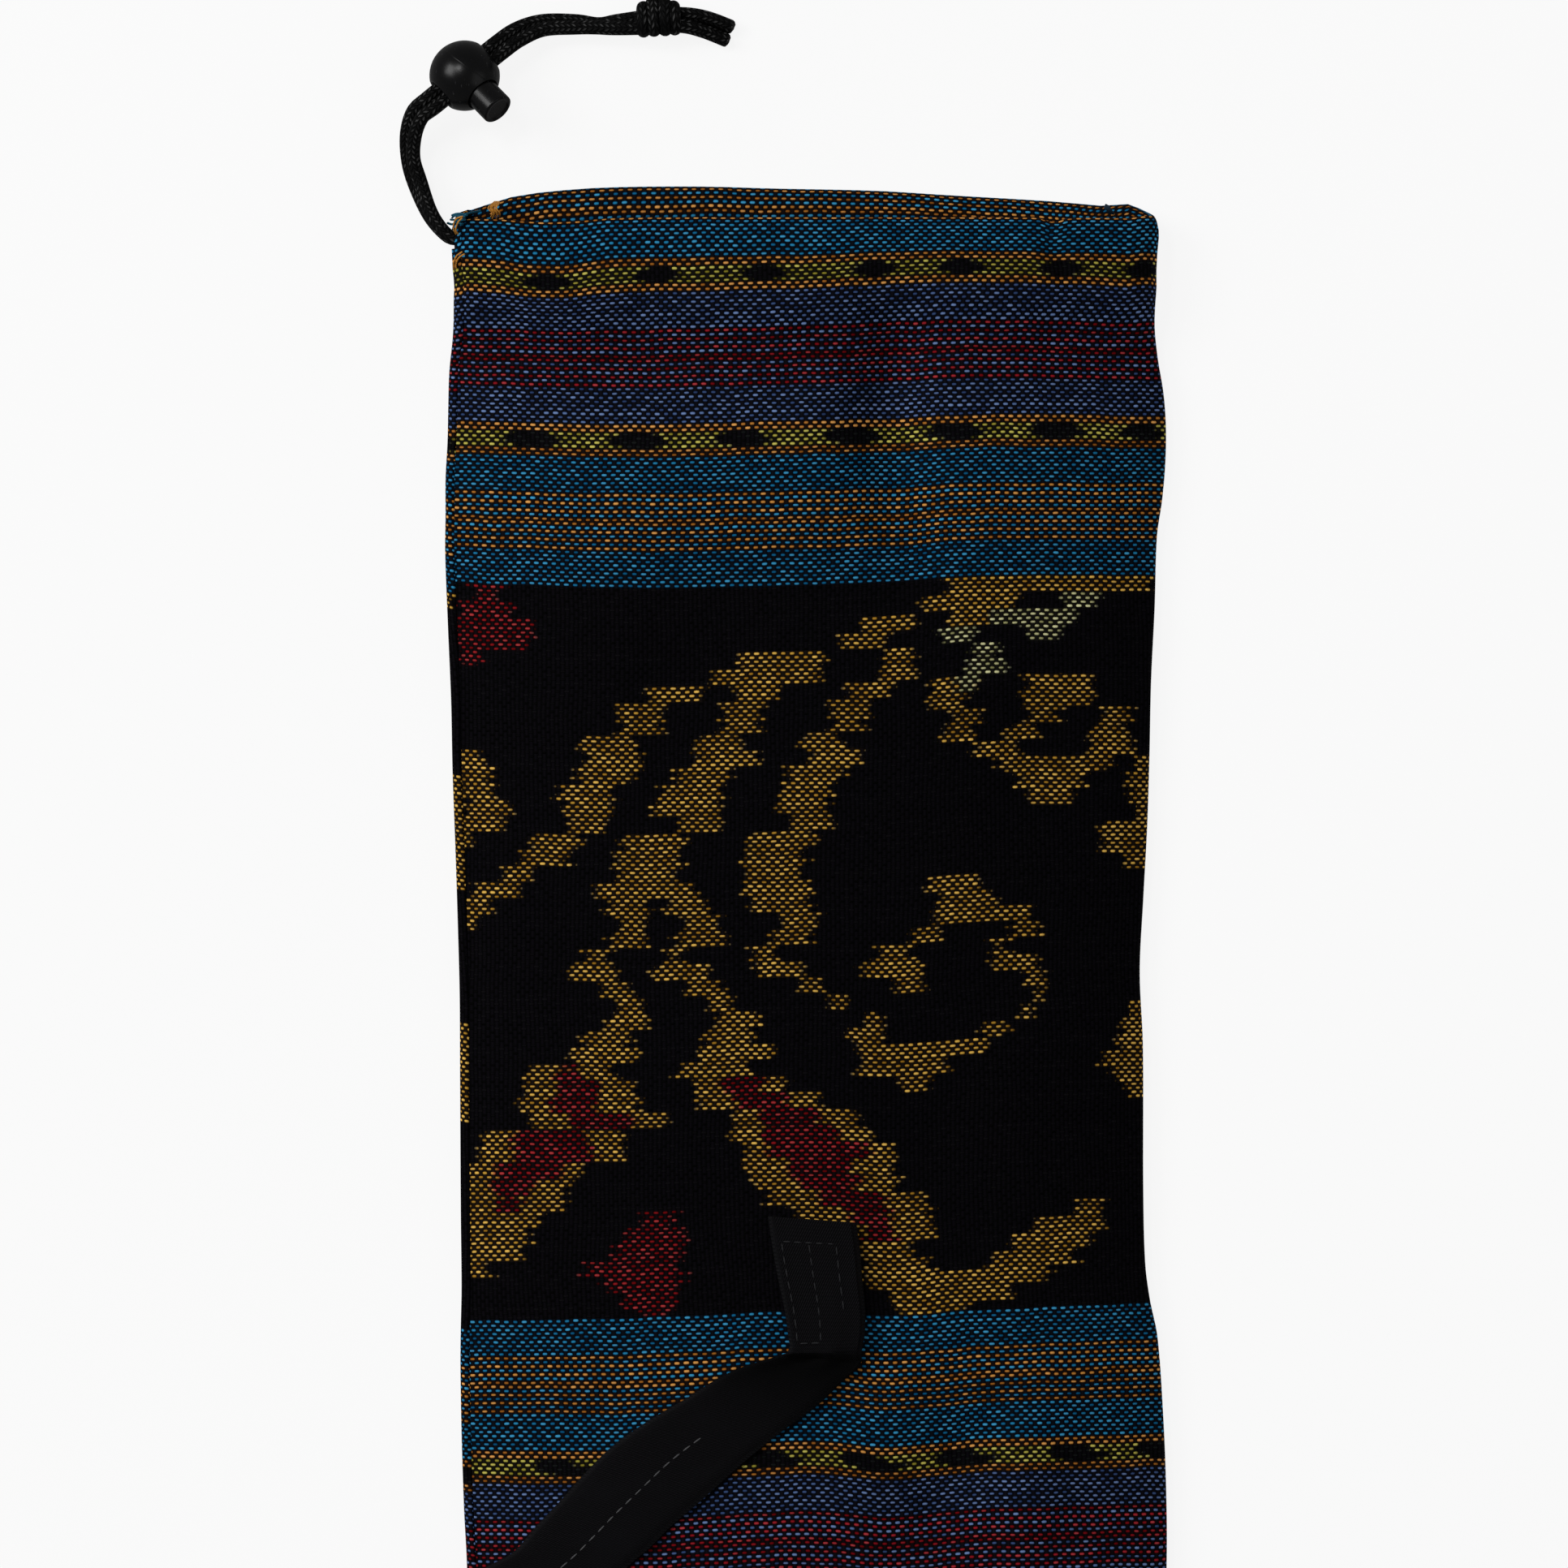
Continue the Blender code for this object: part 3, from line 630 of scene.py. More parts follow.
def arc(centre, radius, start, end, steps):
    """Points of (radius, height) on an arc, in degrees from straight out."""
    turns = [math.radians(start + (end - start) * n / steps) for n in range(steps + 1)]
    return [(centre[0] + radius * math.cos(t), centre[1] + radius * math.sin(t)) for t in turns]


def turned_to(shape, place, axis):
    """Moves a shape that was made along +Z to a place, along an axis."""
    turn = axis.to_track_quat("Z", "Y").to_matrix().to_4x4()
    bmesh.ops.transform(shape, matrix=Matrix.Translation(place) @ turn, verts=shape.verts)
    return shape


lip_out = HOLE_RADIUS + LIP
lip_high = math.sqrt((BALL_RADIUS - LIP) ** 2 - lip_out**2)
lip_turn = math.degrees(math.atan2(lip_high, lip_out))
ball_profile = arc((0, 0), BALL_RADIUS, -lip_turn, lip_turn, 40)
ball_profile += arc((lip_out, lip_high), LIP, lip_turn, 180, 6)[1:]
ball_profile += [(HOLE_RADIUS, lip_high * share) for share in (0.5, 0.0, -0.5)]
ball_profile += arc((lip_out, -lip_high), LIP, 180, 360 - lip_turn, 6)[:-1]
ball = finished(turned_to(spun(ball_profile, closed=True), BALL_CENTRE, HOLE_AXIS), "lock_ball")

# %% Bore it for the button
BUTTON_RADIUS = 4.2 * MM
BORE_RADIUS = 4.5 * MM
PLASTIC_CREASE = 38  # degrees: a sharper edge than this is shown as an edge
BORE_FOOT, CUTTER_END = 2 * MM, 12 * MM  # from the middle of the ball
CHAMFER_WIDE, CHAMFER_BELOW, CHAMFER_ABOVE = 0.9 * MM, 0.35 * MM, 0.75 * MM
seat = math.sqrt(BALL_RADIUS**2 - BORE_RADIUS**2)
wide = BORE_RADIUS + CHAMFER_WIDE
flare = [(0, BORE_FOOT), (BORE_RADIUS, BORE_FOOT), (BORE_RADIUS, seat - CHAMFER_BELOW)]
flare += [(wide, seat + CHAMFER_ABOVE), (wide, CUTTER_END), (0, CUTTER_END)]
cutter = finished(turned_to(spun(flare), BALL_CENTRE, BUTTON_AXIS), "bore_cutter")
boolean = ball.modifiers.new("bore", "BOOLEAN")
boolean.operation = "DIFFERENCE"
boolean.solver = "EXACT"
boolean.object = cutter
bored = bpy.data.meshes.new_from_object(ball.evaluated_get(bpy.context.evaluated_depsgraph_get()))
ball.modifiers.clear()
ball.data = bored
bpy.data.objects.remove(cutter)
bored.shade_smooth()
bored.set_sharp_from_angle(angle=math.radians(PLASTIC_CREASE))
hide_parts("cord_lock_ball")
print("ball after the bore:", len(bored.polygons), "faces")

# %% [markdown]
# ## The button
#
# The button is a plain round plunger with a rounded rim and a shallow dish in its end. It rides
# on its own body, because it slides when it is pressed.

# %% Spin the button
BUTTON_FOOT, BUTTON_END = 5.9 * MM, 14.16 * MM
RIM_ROUND = 0.45 * MM
# The dish in its end: mm from the middle, and mm deep
DISH = [(3.15, 0.0), (2.95, 0.10), (2.8, 0.28), (1.4, 0.32), (0.0, 0.32)]
button_profile = [(0, BUTTON_FOOT), (BUTTON_RADIUS, BUTTON_FOOT)]
button_profile += arc((BUTTON_RADIUS - RIM_ROUND, BUTTON_END - RIM_ROUND), RIM_ROUND, 0, 90, 6)
button_profile += [(out * MM, BUTTON_END - deep * MM) for out, deep in DISH]
button_shape = turned_to(spun(button_profile, steps=56), BALL_CENTRE, BUTTON_AXIS)
button = finished(button_shape, "button", "lock_button", crease=PLASTIC_CREASE)
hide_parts("cord_lock_button")

# %% [markdown]
# ## Moulded plastic
#
# Both parts are satin black plastic. The gloss is soft and a little uneven from handling, with
# fine spark texture and a few hair scratches, and a raised mould line crosses the ball. All of
# it follows the object's own place in space, so it stays put when the button moves.


# %% Plastic finish
LINE_OFFSET = 2.2 * MM  # from the ball's middle to the plane of its mould line
LINE_HALF_WIDTH, LINE_FLAT = 0.16 * MM, 0.04 * MM


def moulded(name, line_normal=None):
    made = Finish(name, roughness=0.3, specular=0.3)
    place = made.object_place()
    grain = made.cloud(place, 5200.0, 3.0)
    wear = made.cloud(place, 210.0, 4.0)
    stretched = made.node("ShaderNodeMapping", Vector=place)
    made.set(stretched, "Scale", (900.0, 90.0, 500.0))
    made.set(stretched, "Rotation", (0.4, 0.2, 0.9))
    scratch = made.step(made.cloud(stretched.outputs[0], 3.0, 1.0), 0.70, 0.78)
    base = made.blend(wear, colour(4, 4, 5), colour(11, 11, 12))
    base = made.blend(made.math("MULTIPLY", scratch, 0.35), base, colour(92, 92, 94))
    made.set(made.shader, "Base Color", base)
    rough = made.math("ADD", made.math("MULTIPLY", wear, 0.08), 0.20)
    made.set(made.shader, "Roughness", made.math("ADD", rough, made.math("MULTIPLY", grain, 0.05)))
    height = made.math("MULTIPLY", grain, 0.35)
    if line_normal is not None:
        away = made.node("ShaderNodeVectorMath", {"operation": "SUBTRACT"})
        made.set(away, 0, place)
        made.set(away, 1, BALL_CENTRE + line_normal * LINE_OFFSET)
        dot = made.node("ShaderNodeVectorMath", {"operation": "DOT_PRODUCT"})
        made.set(dot, 0, away.outputs[0])
        made.set(dot, 1, line_normal)
        off_line = made.math("ABSOLUTE", dot.outputs["Value"])
        height = made.math("ADD", height, made.step(off_line, LINE_HALF_WIDTH, LINE_FLAT))
    made.relief(height, 0.06 * MM, 0.7)
    return made.material


mould_normal = (Vector((0.62, 0.78, 0.0)) - HOLE_AXIS * 0.15).normalized()
ball.data.materials.clear()
ball.data.materials.append(moulded("ball_plastic", mould_normal))
button.data.materials.append(moulded("button_plastic"))
for piece in (ball, button):
    print(piece.name, "is made of", piece.data.materials[0].name)

# %% [markdown]
# ## The form of the bag
#
# Empty and lying flat, the bag is a soft tube. Its hem is thick and round where the cord runs,
# its long edges wave a little, and the upper layer has broad soft dips. It is described by
# functions: how far the edges are from the middle at each distance down from the mouth, how high
# the upper layer lies, and how the rows of the weave wander. A loft of five flat plates would
# have none of that, and a simulation would move the edges away from their measured places.

# %% Edges and height
HALF_WIDTH = 90 * MM
MOUTH_Y = 0.693
CUT_LENGTH = 1.393
SEAM_DOWN = 1.381  # where the bottom seam lies
SEAM_TAPER = 48 * MM  # and over what length the bag goes flat before it
SEAM_HEIGHT = 3.0 * MM
CROWN = 19.0 * MM
HEM_DEPTH = 18.0 * MM
HEM_HEIGHT = 19.8 * MM
EDGE_ROUND = 3.2 * MM
HEM_EDGE_ROUND = 7.0 * MM

# mm down from the mouth, and mm from the middle to the left and the right edge
EDGES = [
    (0.0, 89.2, 89.3),
    (4.0, 90.2, 89.9),
    (11.4, 90.0, 89.5),
    (16.4, 89.3, 89.1),
    (27.2, 90.0, 89.0),
    (36.5, 91.1, 90.0),
    (45.8, 91.4, 91.5),
    (55.1, 91.6, 92.1),
    (64.4, 92.1, 91.9),
    (73.7, 92.1, 91.1),
    (83.0, 92.2, 89.8),
    (101.7, 91.5, 89.2),
    (120.3, 90.7, 88.3),
    (138.9, 90.3, 87.9),
    (157.6, 89.6, 87.3),
    (176.2, 89.0, 86.3),
    (194.8, 88.5, 85.4),
    (213.5, 88.4, 86.2),
    (250.7, 88.2, 86.3),
    (269.3, 88.0, 86.8),
    (278.7, 88.2, 88.0),
    (288.0, 88.3, 89.9),
    (306.6, 88.0, 91.3),
    (325.2, 87.4, 92.1),
    (343.9, 86.6, 92.3),
    (404.0, 88.0, 90.9),
    (473.6, 89.3, 88.7),
    (557.0, 88.6, 87.5),
    (641.0, 87.8, 89.1),
    (724.0, 89.1, 90.4),
    (808.0, 90.4, 89.1),
    (891.5, 89.1, 87.8),
    (975.0, 88.0, 88.9),
    (1045.0, 88.6, 90.2),
    (1128.0, 89.6, 89.3),
    (1198.0, 89.1, 88.6),
    (1281.6, 88.7, 88.9),
    (1337.0, 89.1, 89.3),
    (1393.0, 89.2, 89.2),
]
LEFT_EDGE = [(down * MM, -left * MM) for down, left, _ in EDGES]
RIGHT_EDGE = [(down * MM, right * MM) for down, _, right in EDGES]
# Share of the length down from the mouth, and height as a share of CROWN
HEIGHTS = [(0.0, 1.0), (0.013, 0.98), (0.02, 0.9), (0.03, 0.92), (0.05, 1.0), (0.085, 0.95)]
HEIGHTS += [(0.135, 1.0), (0.2, 0.92), (0.245, 1.0), (0.31, 0.96), (0.4, 1.0), (0.46, 0.95)]
HEIGHTS += [(0.58, 1.0), (0.66, 0.96), (0.75, 1.0), (0.86, 0.93), (0.92, 0.9), (0.96, 0.66), (0.982, 0.38)]


def flattened(down):
    """0 over most of the bag, and 1 at the seam that closes its bottom."""
    return ease((down - (SEAM_DOWN - SEAM_TAPER)) / SEAM_TAPER)


def outline(down):
    """(left edge, right edge, height of the middle, radius of the edges) this far down."""
    in_hem = 1 - ease((down - HEM_DEPTH) / HEM_DEPTH)
    flat = flattened(down)
    crown = CROWN * between(HEIGHTS, down / CUT_LENGTH)
    crown += (HEM_HEIGHT - crown) * in_hem
    crown += (SEAM_HEIGHT - crown) * flat
    radius = EDGE_ROUND + (HEM_EDGE_ROUND - EDGE_ROUND) * in_hem
    radius += (SEAM_HEIGHT / 2 - radius) * flat
    return between(LEFT_EDGE, down), between(RIGHT_EDGE, down), crown, radius


print("edges 60 mm down:", [round(v, 4) for v in outline(0.060)[:2]])

# %% Folds, dips and the waves of the rows
FOLD_DEPTH = 1.6
# mm across and down, reach of the fold each way, its turn in degrees, and its depth in mm
FOLDS = [
    (-44, 28, 9, 16, 0, 1.3),
    (22, 40, 9, 22, 4, 3.0),
    (24, 72, 10, 26, -6, 2.2),
    (2, 60, 18, 22, 0, -1.0),
    (-70, 60, 16, 24, 10, 0.9),
    (62, 30, 2.2, 8, -24, 1.4),
    (64.2, 10.5, 1.7, 7.5, -21, 3.6),
    (76, 18, 4, 12, 8, 1.2),
    (-74, 22, 5, 12, -6, 1.0),
    (-30, 120, 18, 34, 8, 0.8),
    (60, 140, 16, 40, -6, 1.0),
    (-55, 205, 20, 30, 14, 0.9),
    (34, 226, 14, 24, -10, 1.0),
    (36, 326, 14, 26, 10, 2.6),
    (60, 318, 12, 20, 4, -1.6),
    (12, 300, 7, 14, 24, 1.0),
    (-66, 300, 14, 24, 0, 0.8),
    (-27, 460, 18, 28, 0, 2.2),
    (31, 655, 16, 33, 8, 2.4),
    (-38, 836, 14, 31, -8, 2.0),
    (20, 1010, 16, 30, 12, 1.6),
    (27, 1226, 16, 25, 0, 2.2),
]
# mm down, then how many mm the weave's rows run up at the left edge, a quarter, the middle,
# an eighth further, three quarters and the right edge
WAVES = [
    (0, 0.0, 0.0, 0.0, 0.0, 0.0, 0.0),
    (14, -0.7, -1.0, -0.2, 0.9, 1.2, 0.2),
    (55, 0.0, -1.3, -0.4, 0.2, 1.3, 1.1),
    (93, 0.2, -1.2, -0.5, 0.3, 1.9, 2.2),
    (280, -1.9, -1.0, 0.8, -0.4, 1.2, 2.7),
    (317, -1.7, -1.3, 1.2, -0.4, 1.6, 2.6),
    (500, -1.0, 0.0, 0.0, 0.5, 1.0, 1.0),
    (1330, 0.0, 0.5, 0.0, -0.5, 0.0, 0.0),
    (1393, 0.0, 0.0, 0.0, 0.0, 0.0, 0.0),
]
WAVE_PLACES = (-1.0, -0.5, 0.0, 0.25, 0.5, 1.0)


def dips(x, down):
    """How far the folds lower the upper layer, in metres."""
    total = 0.0
    for across, along, wide, long, degrees, depth in FOLDS:
        u, v = x / MM - across, down / MM - along
        if abs(u) + abs(v) < 3 * (wide + long):
            turn = math.radians(degrees)
            a = (u * math.cos(turn) + v * math.sin(turn)) / wide
            b = (v * math.cos(turn) - u * math.sin(turn)) / long
            total += FOLD_DEPTH * depth * math.exp(-a * a - b * b)
    soft = noise.noise(Vector((x * 24, down * 17, 0.0))) * 0.7
    soft += noise.noise(Vector((x * 70, down * 52, 4.0))) * 0.28
    return (total + soft) * MM


def top_height(x, down):
    """The height of the upper layer between the bag's two rounded edges."""
    left, right, crown, radius = outline(down)
    s = 2 * (x - left - radius) / (right - left - 2 * radius) - 1
    swell = (1 - min(abs(s), 1.0) ** 2.6) ** 0.8
    loose = (1 - flattened(down)) * (0.35 + 0.65 * ease((down - HEM_DEPTH / 2) / HEM_DEPTH))
    return 2 * radius + (crown - 2 * radius) * swell - dips(x, down) * swell**0.5 * loose


def wave(x, down):
    """How far the rows of the weave run up from level, in metres."""
    columns = [between([(row[0] * MM, row[n + 1]) for row in WAVES], down) for n in range(6)]
    return between(list(zip(WAVE_PLACES, columns)), x / HALF_WIDTH) * MM


print("upper layer, 60 mm down the middle:", round(top_height(0, 0.060) / MM, 1), "mm high")

# %% [markdown]
# ## The cloth
#
# The cloth is one sheet, 0.37 m wide and 1.41 m long. It starts inside the mouth at the hem's
# stitching, goes over the rim and down the outside to the sewn bottom. Round the bag it starts at
# the left seam, crosses the upper side, turns the fold at the right, and comes back underneath to
# the seam, where the lower panel shows as a narrow strip. So it is one grid with two edges that
# meet in the seam's groove. The rows of the grid lie on rows of the weave, because the dye
# changes there.

# %% Rows and columns of the grid
ROW = 1.045 * MM  # from one row of warp floats to the next
YARN = 1.17 * MM  # from one weft yarn to the next
RIM_ROW = -1.2  # the row number at the very edge of the rim
FIELD_START, FIELD_PERIOD = 89, 290  # the first black field, and how often it comes again
SEAM_IN = 2.3 * MM  # the seam lies this far in from the left edge
SEAM_ARC, TOP, RIGHT_ARC, UNDER, LEFT_ARC = 3, 72, 7, 24, 7
COLUMNS = SEAM_ARC + TOP + RIGHT_ARC + UNDER + LEFT_ARC

row_lines = [-19, -17, -15, -13, -11, -9, -7, -5, -3.6, -2.7, -1.9, -1.2, -0.6, 0.1]
row_lines += list(range(1, 332, 2)) + list(range(335, 1332, 4)) + [1333]
ROWS = len(row_lines) - 1
# mm from the rim along the cloth, and how far the outer face then lies inside the bag's outline
OUTSIDE_INSET = [(0, 3.0), (0.8, 2.1), (2, 1.3), (4, 0.6), (6, 0.2), (10, 0.0), (15, -0.3)]
OUTSIDE_INSET += [(19, -0.6), (24, -0.4), (30, -0.1), (36, 0.0)]
FACING_INSET = [(0, 3.0), (0.8, 3.9), (2, 4.6), (4, 5.4), (6, 6.0), (8, 6.2), (12, 5.0)]
FACING_INSET += [(16, 3.2), (18.7, 2.5)]
DOWN_BY_PATH = [(0, 0), (0.8, 0.3), (2, 1.2), (4, 3.1), (6, 5.0), (8, 7.0)]


def beside_rim(row):
    """(distance down from the rim, inset from the outline) of a row of the weave."""
    path = (row - RIM_ROW) * ROW / MM
    out = abs(path)
    down = between(DOWN_BY_PATH, out) if out < 8 else out - 1.0
    inset = between(OUTSIDE_INSET if path >= 0 else FACING_INSET, out)
    return down * MM, inset * MM


print("grid:", COLUMNS, "columns and", ROWS, "rows; last row", round(beside_rim(1333)[0], 3), "m down")

# %% Where each corner of the grid goes
# Share of the half width, and how many mm the lower layer's rim stands out past the upper one's
BACK_RIM = [(-1.0, 1.0), (-0.93, 3.0), (-0.86, 5.2), (-0.77, 6.7), (-0.58, 8.1), (-0.3, 8.4), (-0.1, 7.9)]
BACK_RIM += [(0.2, 7.3), (0.4, 6.2), (0.7, 4.6), (0.86, 3.4), (0.9, 4.0), (0.95, 3.2), (1.0, 1.0)]
HEM_STITCH_DOWN = 18.5  # mm down to the line that closes the hem
GROOVE_REACH, GROOVE_DEPTH = 1.4, 0.7 * MM  # mm up and down the cloth, and its depth
PANEL_SLIP = 2.6 * MM  # how much lower the back panel's rows lie where they reach the seam
SEAM_TUCK = 0.35 * MM  # how far the two edges turn in where they meet
RIM_SQUARE = 2.4 * MM  # how much squarer the corners of the mouth are
LAST_ROWS = (1325, 8)  # the row from which the bottom edge is pressed together, and over how many
# Places where the rim hangs lower: mm across and down, reach each way, and mm lower
RIM_DIPS = [(63, 0, 2.6, 9, 1.2), (-65, 11, 12, 14, 2.1)]


def around(column):
    """(stretch, share of it) for a column of the grid, counted round the bag from the seam."""
    for stretch, count in (("seam", SEAM_ARC), ("top", TOP), ("right", RIGHT_ARC), ("under", UNDER)):
        if column <= count:
            return stretch, column / count
        column -= count
    return "left", column / LEFT_ARC


def cloth_corner(column, row):
    """The place of a corner of the cloth's grid."""
    down, inset = beside_rim(row)
    left, right, _, radius = outline(down)
    low, high = left + radius, right - radius
    if column in (0, COLUMNS):
        inset += SEAM_TUCK * (1 - flattened(down))
    seam_turn = math.acos(min((SEAM_IN - radius) / radius, 0.0))
    stretch, t = around(column)
    back = 0.0 if stretch in ("seam", "top") else 1.0
    if stretch == "top":
        x = low + (high - low) * t
        groove = math.exp(-(((down / MM - HEM_STITCH_DOWN) / GROOVE_REACH) ** 2)) * GROOVE_DEPTH
        z = top_height(x, down) - inset - groove
    elif stretch == "under":
        x = high + (low - high) * t
        z = inset
    else:
        if stretch == "seam":
            turn, side = seam_turn + (math.pi / 2 - seam_turn) * t, low
        elif stretch == "right":
            turn, side = math.pi * (0.5 - t), high
            back = t
        else:
            turn, side = math.pi * 1.5 + (seam_turn - math.pi * 1.5) * t, low
        square = RIM_SQUARE * math.exp(-abs(row - RIM_ROW) / 4)
        x = side + (radius - inset + square) * math.cos(turn)
        z = radius + (radius - inset) * math.sin(turn)
    up = wave(x, down)
    if stretch not in ("seam", "top"):
        up += between(BACK_RIM, x / HALF_WIDTH) * MM * back * (1 - ease(down / 0.090))
        slip = {"right": 0.0, "under": t * 0.6, "left": 0.6 + 0.4 * t}[stretch]
        up -= PANEL_SLIP * slip * ease(down / 0.020) * (1 - flattened(down))
    for across, along, wide, long, low_by in RIM_DIPS:
        dip = math.exp(-(((x / MM - across) / wide) ** 2) - ((down / MM - along) / long) ** 2)
        up -= low_by * dip * MM * (1 - back)
    end = ease((row - LAST_ROWS[0]) / LAST_ROWS[1])
    if end and stretch != "left":
        z += (SEAM_HEIGHT / 2 - z) * end * 0.75
    return Vector((x, MOUTH_Y - down + up, max(z, 0.0)))


print("left seam at the mouth:", [round(v, 4) for v in cloth_corner(0, 1)])

# %% Yarn counts across the cloth
# Counted out from the middle of each layer, row by row, so that no yarn is stretched or slants.
MIDDLE = SEAM_ARC + TOP // 2
UNDER_MIDDLE = SEAM_ARC + TOP + RIGHT_ARC + UNDER // 2
FOLD_COLUMN = SEAM_ARC + TOP + RIGHT_ARC // 2 + 1  # where the right fold has turned under
FOLD_SPREAD = 6  # columns that share what the two layers' counts differ by
STEADY_ROW = 90  # a row well below the hem
cloth_grid = [[cloth_corner(column, row) for column in range(COLUMNS + 1)] for row in row_lines]


def counted(points):
    """The yarn number at each corner of one row."""
    numbers = [0.0]
    for a, b in zip(points, points[1:]):
        numbers.append(numbers[-1] + (b - a).length / YARN)
    return [number - numbers[MIDDLE] for number in numbers]


yarn_numbers = [counted(points) for points in cloth_grid]
middle_row = list(yarn_numbers[STEADY_ROW])
for numbers in yarn_numbers:
    slip = middle_row[UNDER_MIDDLE] - numbers[UNDER_MIDDLE]
    start, end = numbers[FOLD_COLUMN], numbers[FOLD_COLUMN + FOLD_SPREAD]
    for column in range(FOLD_COLUMN, COLUMNS + 1):
        numbers[column] += slip * min((numbers[column] - start) / (end - start), 1.0)
print("cloth is", round((middle_row[-1] - middle_row[0]) * YARN, 3), "m round")

# %% [markdown]
# ## The dyed figures
#
# In ikat, bundles of yarn are tied and dyed before weaving. Here a bundle is four rows, and the
# dye's edges shift a little from bundle to bundle, which gives the stepped, feathered scrolls.
# The chart below lists them by bundle, as a weaver would: where each stroke starts and ends, in
# mm from the middle of the cloth. A picture could be painted on instead, but a chart in real
# sizes stays sharp at any distance. Its values go to the mesh as the distance to the nearest
# edge of the dye, and the material feathers that edge row by row.

# %% Chart of the gold strokes
# The first bundle, then (from, to) for it and each one after it
GOLD = {
    "left edge": (10, [(-89, -83.5), (-89, -80), (-89, -79.5), (-85.5, -76), (-90, -75.5), (-90, -85.5)]),
    "outer stroke": (
        6,
        [(-39.7, -27), (-47.8, -37.2), (-47, -36.5), (-57.2, -44.2), (-54.7, -42.2), (-58, -44)]
        + [(-63, -49), (-61, -50), (-61.5, -50), (-69.8, -57.5), (-73, -60), (-77, -69.5)]
        + [(-83.5, -74), (-89, -80), (-89, -83)],
    ),
    "inner stroke": (
        4,
        [(-17.5, 4.7), (-24, 3.5), (-17, -7), (-20.5, -11.5), (-21.5, -11.5), (-27.8, -17)]
        + [(-27.5, -13), (-33, -19.5), (-37, -21), (-38.5, -22.5), (-33.5, -20.5), (-46.5, -31)]
        + [(-49, -31.5), (-48, -33.5), (-52.5, -29)],
    ),
    "left fork": (
        19,
        [(-51, -40.5), (-48.5, -40), (-50.5, -40), (-57, -50), (-59.5, -48.5), (-52.5, -44)]
        + [(-49.5, -40), (-50.5, -40), (-56.5, -45), (-60, -42.5), (-71.5, -48.5), (-71.5, -44)]
        + [(-73, -42.5), (-70, -35), (-82, -46.5), (-83, -46.5), (-88, -56.5), (-88, -60.5)]
        + [(-88, -61), (-88, -67), (-89, -70.5), (-89, -72.5), (-89, -81)],
    ),
    "right fork": (
        19,
        [(-35.5, -24.5), (-31, -21.8), (-33.5, -20), (-36, -31), (-38, -25), (-31, -20.5)]
        + [(-26, -17.5), (-22.5, -11.5), (-25.5, -14), (-27.5, -7.5), (-32.5, -13.5), (-28.5, -5)]
        + [(-27.5, 3.5), (-18.5, 13), (-19, 16), (-14.5, 22), (-16, 22), (-13, 23.5), (-10, 31)]
        + [(-3, 32.5), (11, 33), (13.5, 27), (14.5, 32), (14.8, 62), (22, 52), (24.5, 41)],
    ),
    "rising arm": (38, [(68.5, 76), (58, 76), (52.5, 72.5), (46.5, 69)]),
    "middle stroke": (
        2,
        [(14.5, 27.5), (9, 20), (19.5, 27.8), (19.5, 27.5), (11, 21), (7, 15.5), (6.5, 15.5), (-0.5, 9)]
        + [(1.5, 13.5), (-4.5, 9.5), (-6, 6.5), (-7, 4.7), (-5, 8), (-14.5, 2), (-16, 0)]
        + [(-15.5, -1.5), (-15, 0.3), (-13.5, 0.8), (-7, 4), (-9.5, 2), (-14, -7.5), (-12, -1.5)]
        + [(-1.8, 4.5), (4.8, 11.5), (15, 19), (11, 19.5), (13.5, 46.5), (13.5, 36.5), (24, 31.5)],
    ),
    "scroll head": (
        18,
        [(32, 43), (34, 48), (32, 58), (52, 60.5), (47, 52), (48, 58), (55.5, 61.5), (57.5, 62)]
        + [(54.5, 57.5), (45.5, 51)],
    ),
    "scroll tail": (21, [(26.5, 34.5), (18, 27), (15, 29.5), (22.5, 30)]),
    "right edge": (11, [(85, 92), (81.5, 92), (83.5, 92), (85.5, 92), (75, 92), (75, 92), (81.5, 92)]),
    "lower right edge": (26, [(84, 92), (81, 92), (79, 92), (75, 92), (78.5, 92), (82, 92)]),
    "top right": (0, [(35.3, 92), (28.8, 54.5), (37, 47)]),
    "right hook": (6, [(56.5, 72.5), (55, 72.5), (57, 64.5), (51.5, 58.5), (43.5, 53.5), (49.5, 77.5)]),
    "right hook's foot": (12, [(53.5, 71), (57.5, 67.5)]),
    "hook's inner arm": (6, [(32.5, 43.5), (32, 40), (37, 44.5), (35, 42.5)]),
    "hook's outer arm": (8, [(76, 83), (73.5, 81.5), (73, 83.5)]),
}

# %% Chart of the red cores and the pale strokes
RED = {
    "top left": (0, [(-85, -77.5), (-89, -74), (-89, -70), (-89, -70.5), (-89, -82.5)]),
    "left core": (
        29,
        [(-64, -56.7), (-63.5, -52), (-65, -53), (-60, -43.5), (-75, -55.5), (-74, -54)]
        + [(-79.5, -62), (-80.5, -69.5), (-79.5, -72.5)],
    ),
    "right core": (
        30,
        [(-21.5, -10.5), (-18, -4.5), (-12, 4), (-11, 8.5), (-9, 15.5), (-5, 12), (-3, 13.5)]
        + [(2.5, 20.5), (10, 22), (15, 23)],
    ),
    "bottom": (
        38,
        [(-42, -33.5), (-46.5, -30.5), (-49, -31.5), (-57, -31.5), (-51, -32), (-46, -33), (-42, -35.5)],
    ),
}
PALE = {
    "top right": (1, [(65, 75), (56.5, 68), (56.5, 65), (42.5, 49.5), (41, 50.5), (38.5, 43.5)]),
    "under the stripes": (2, [(47, 56), (34.5, 43)]),
}
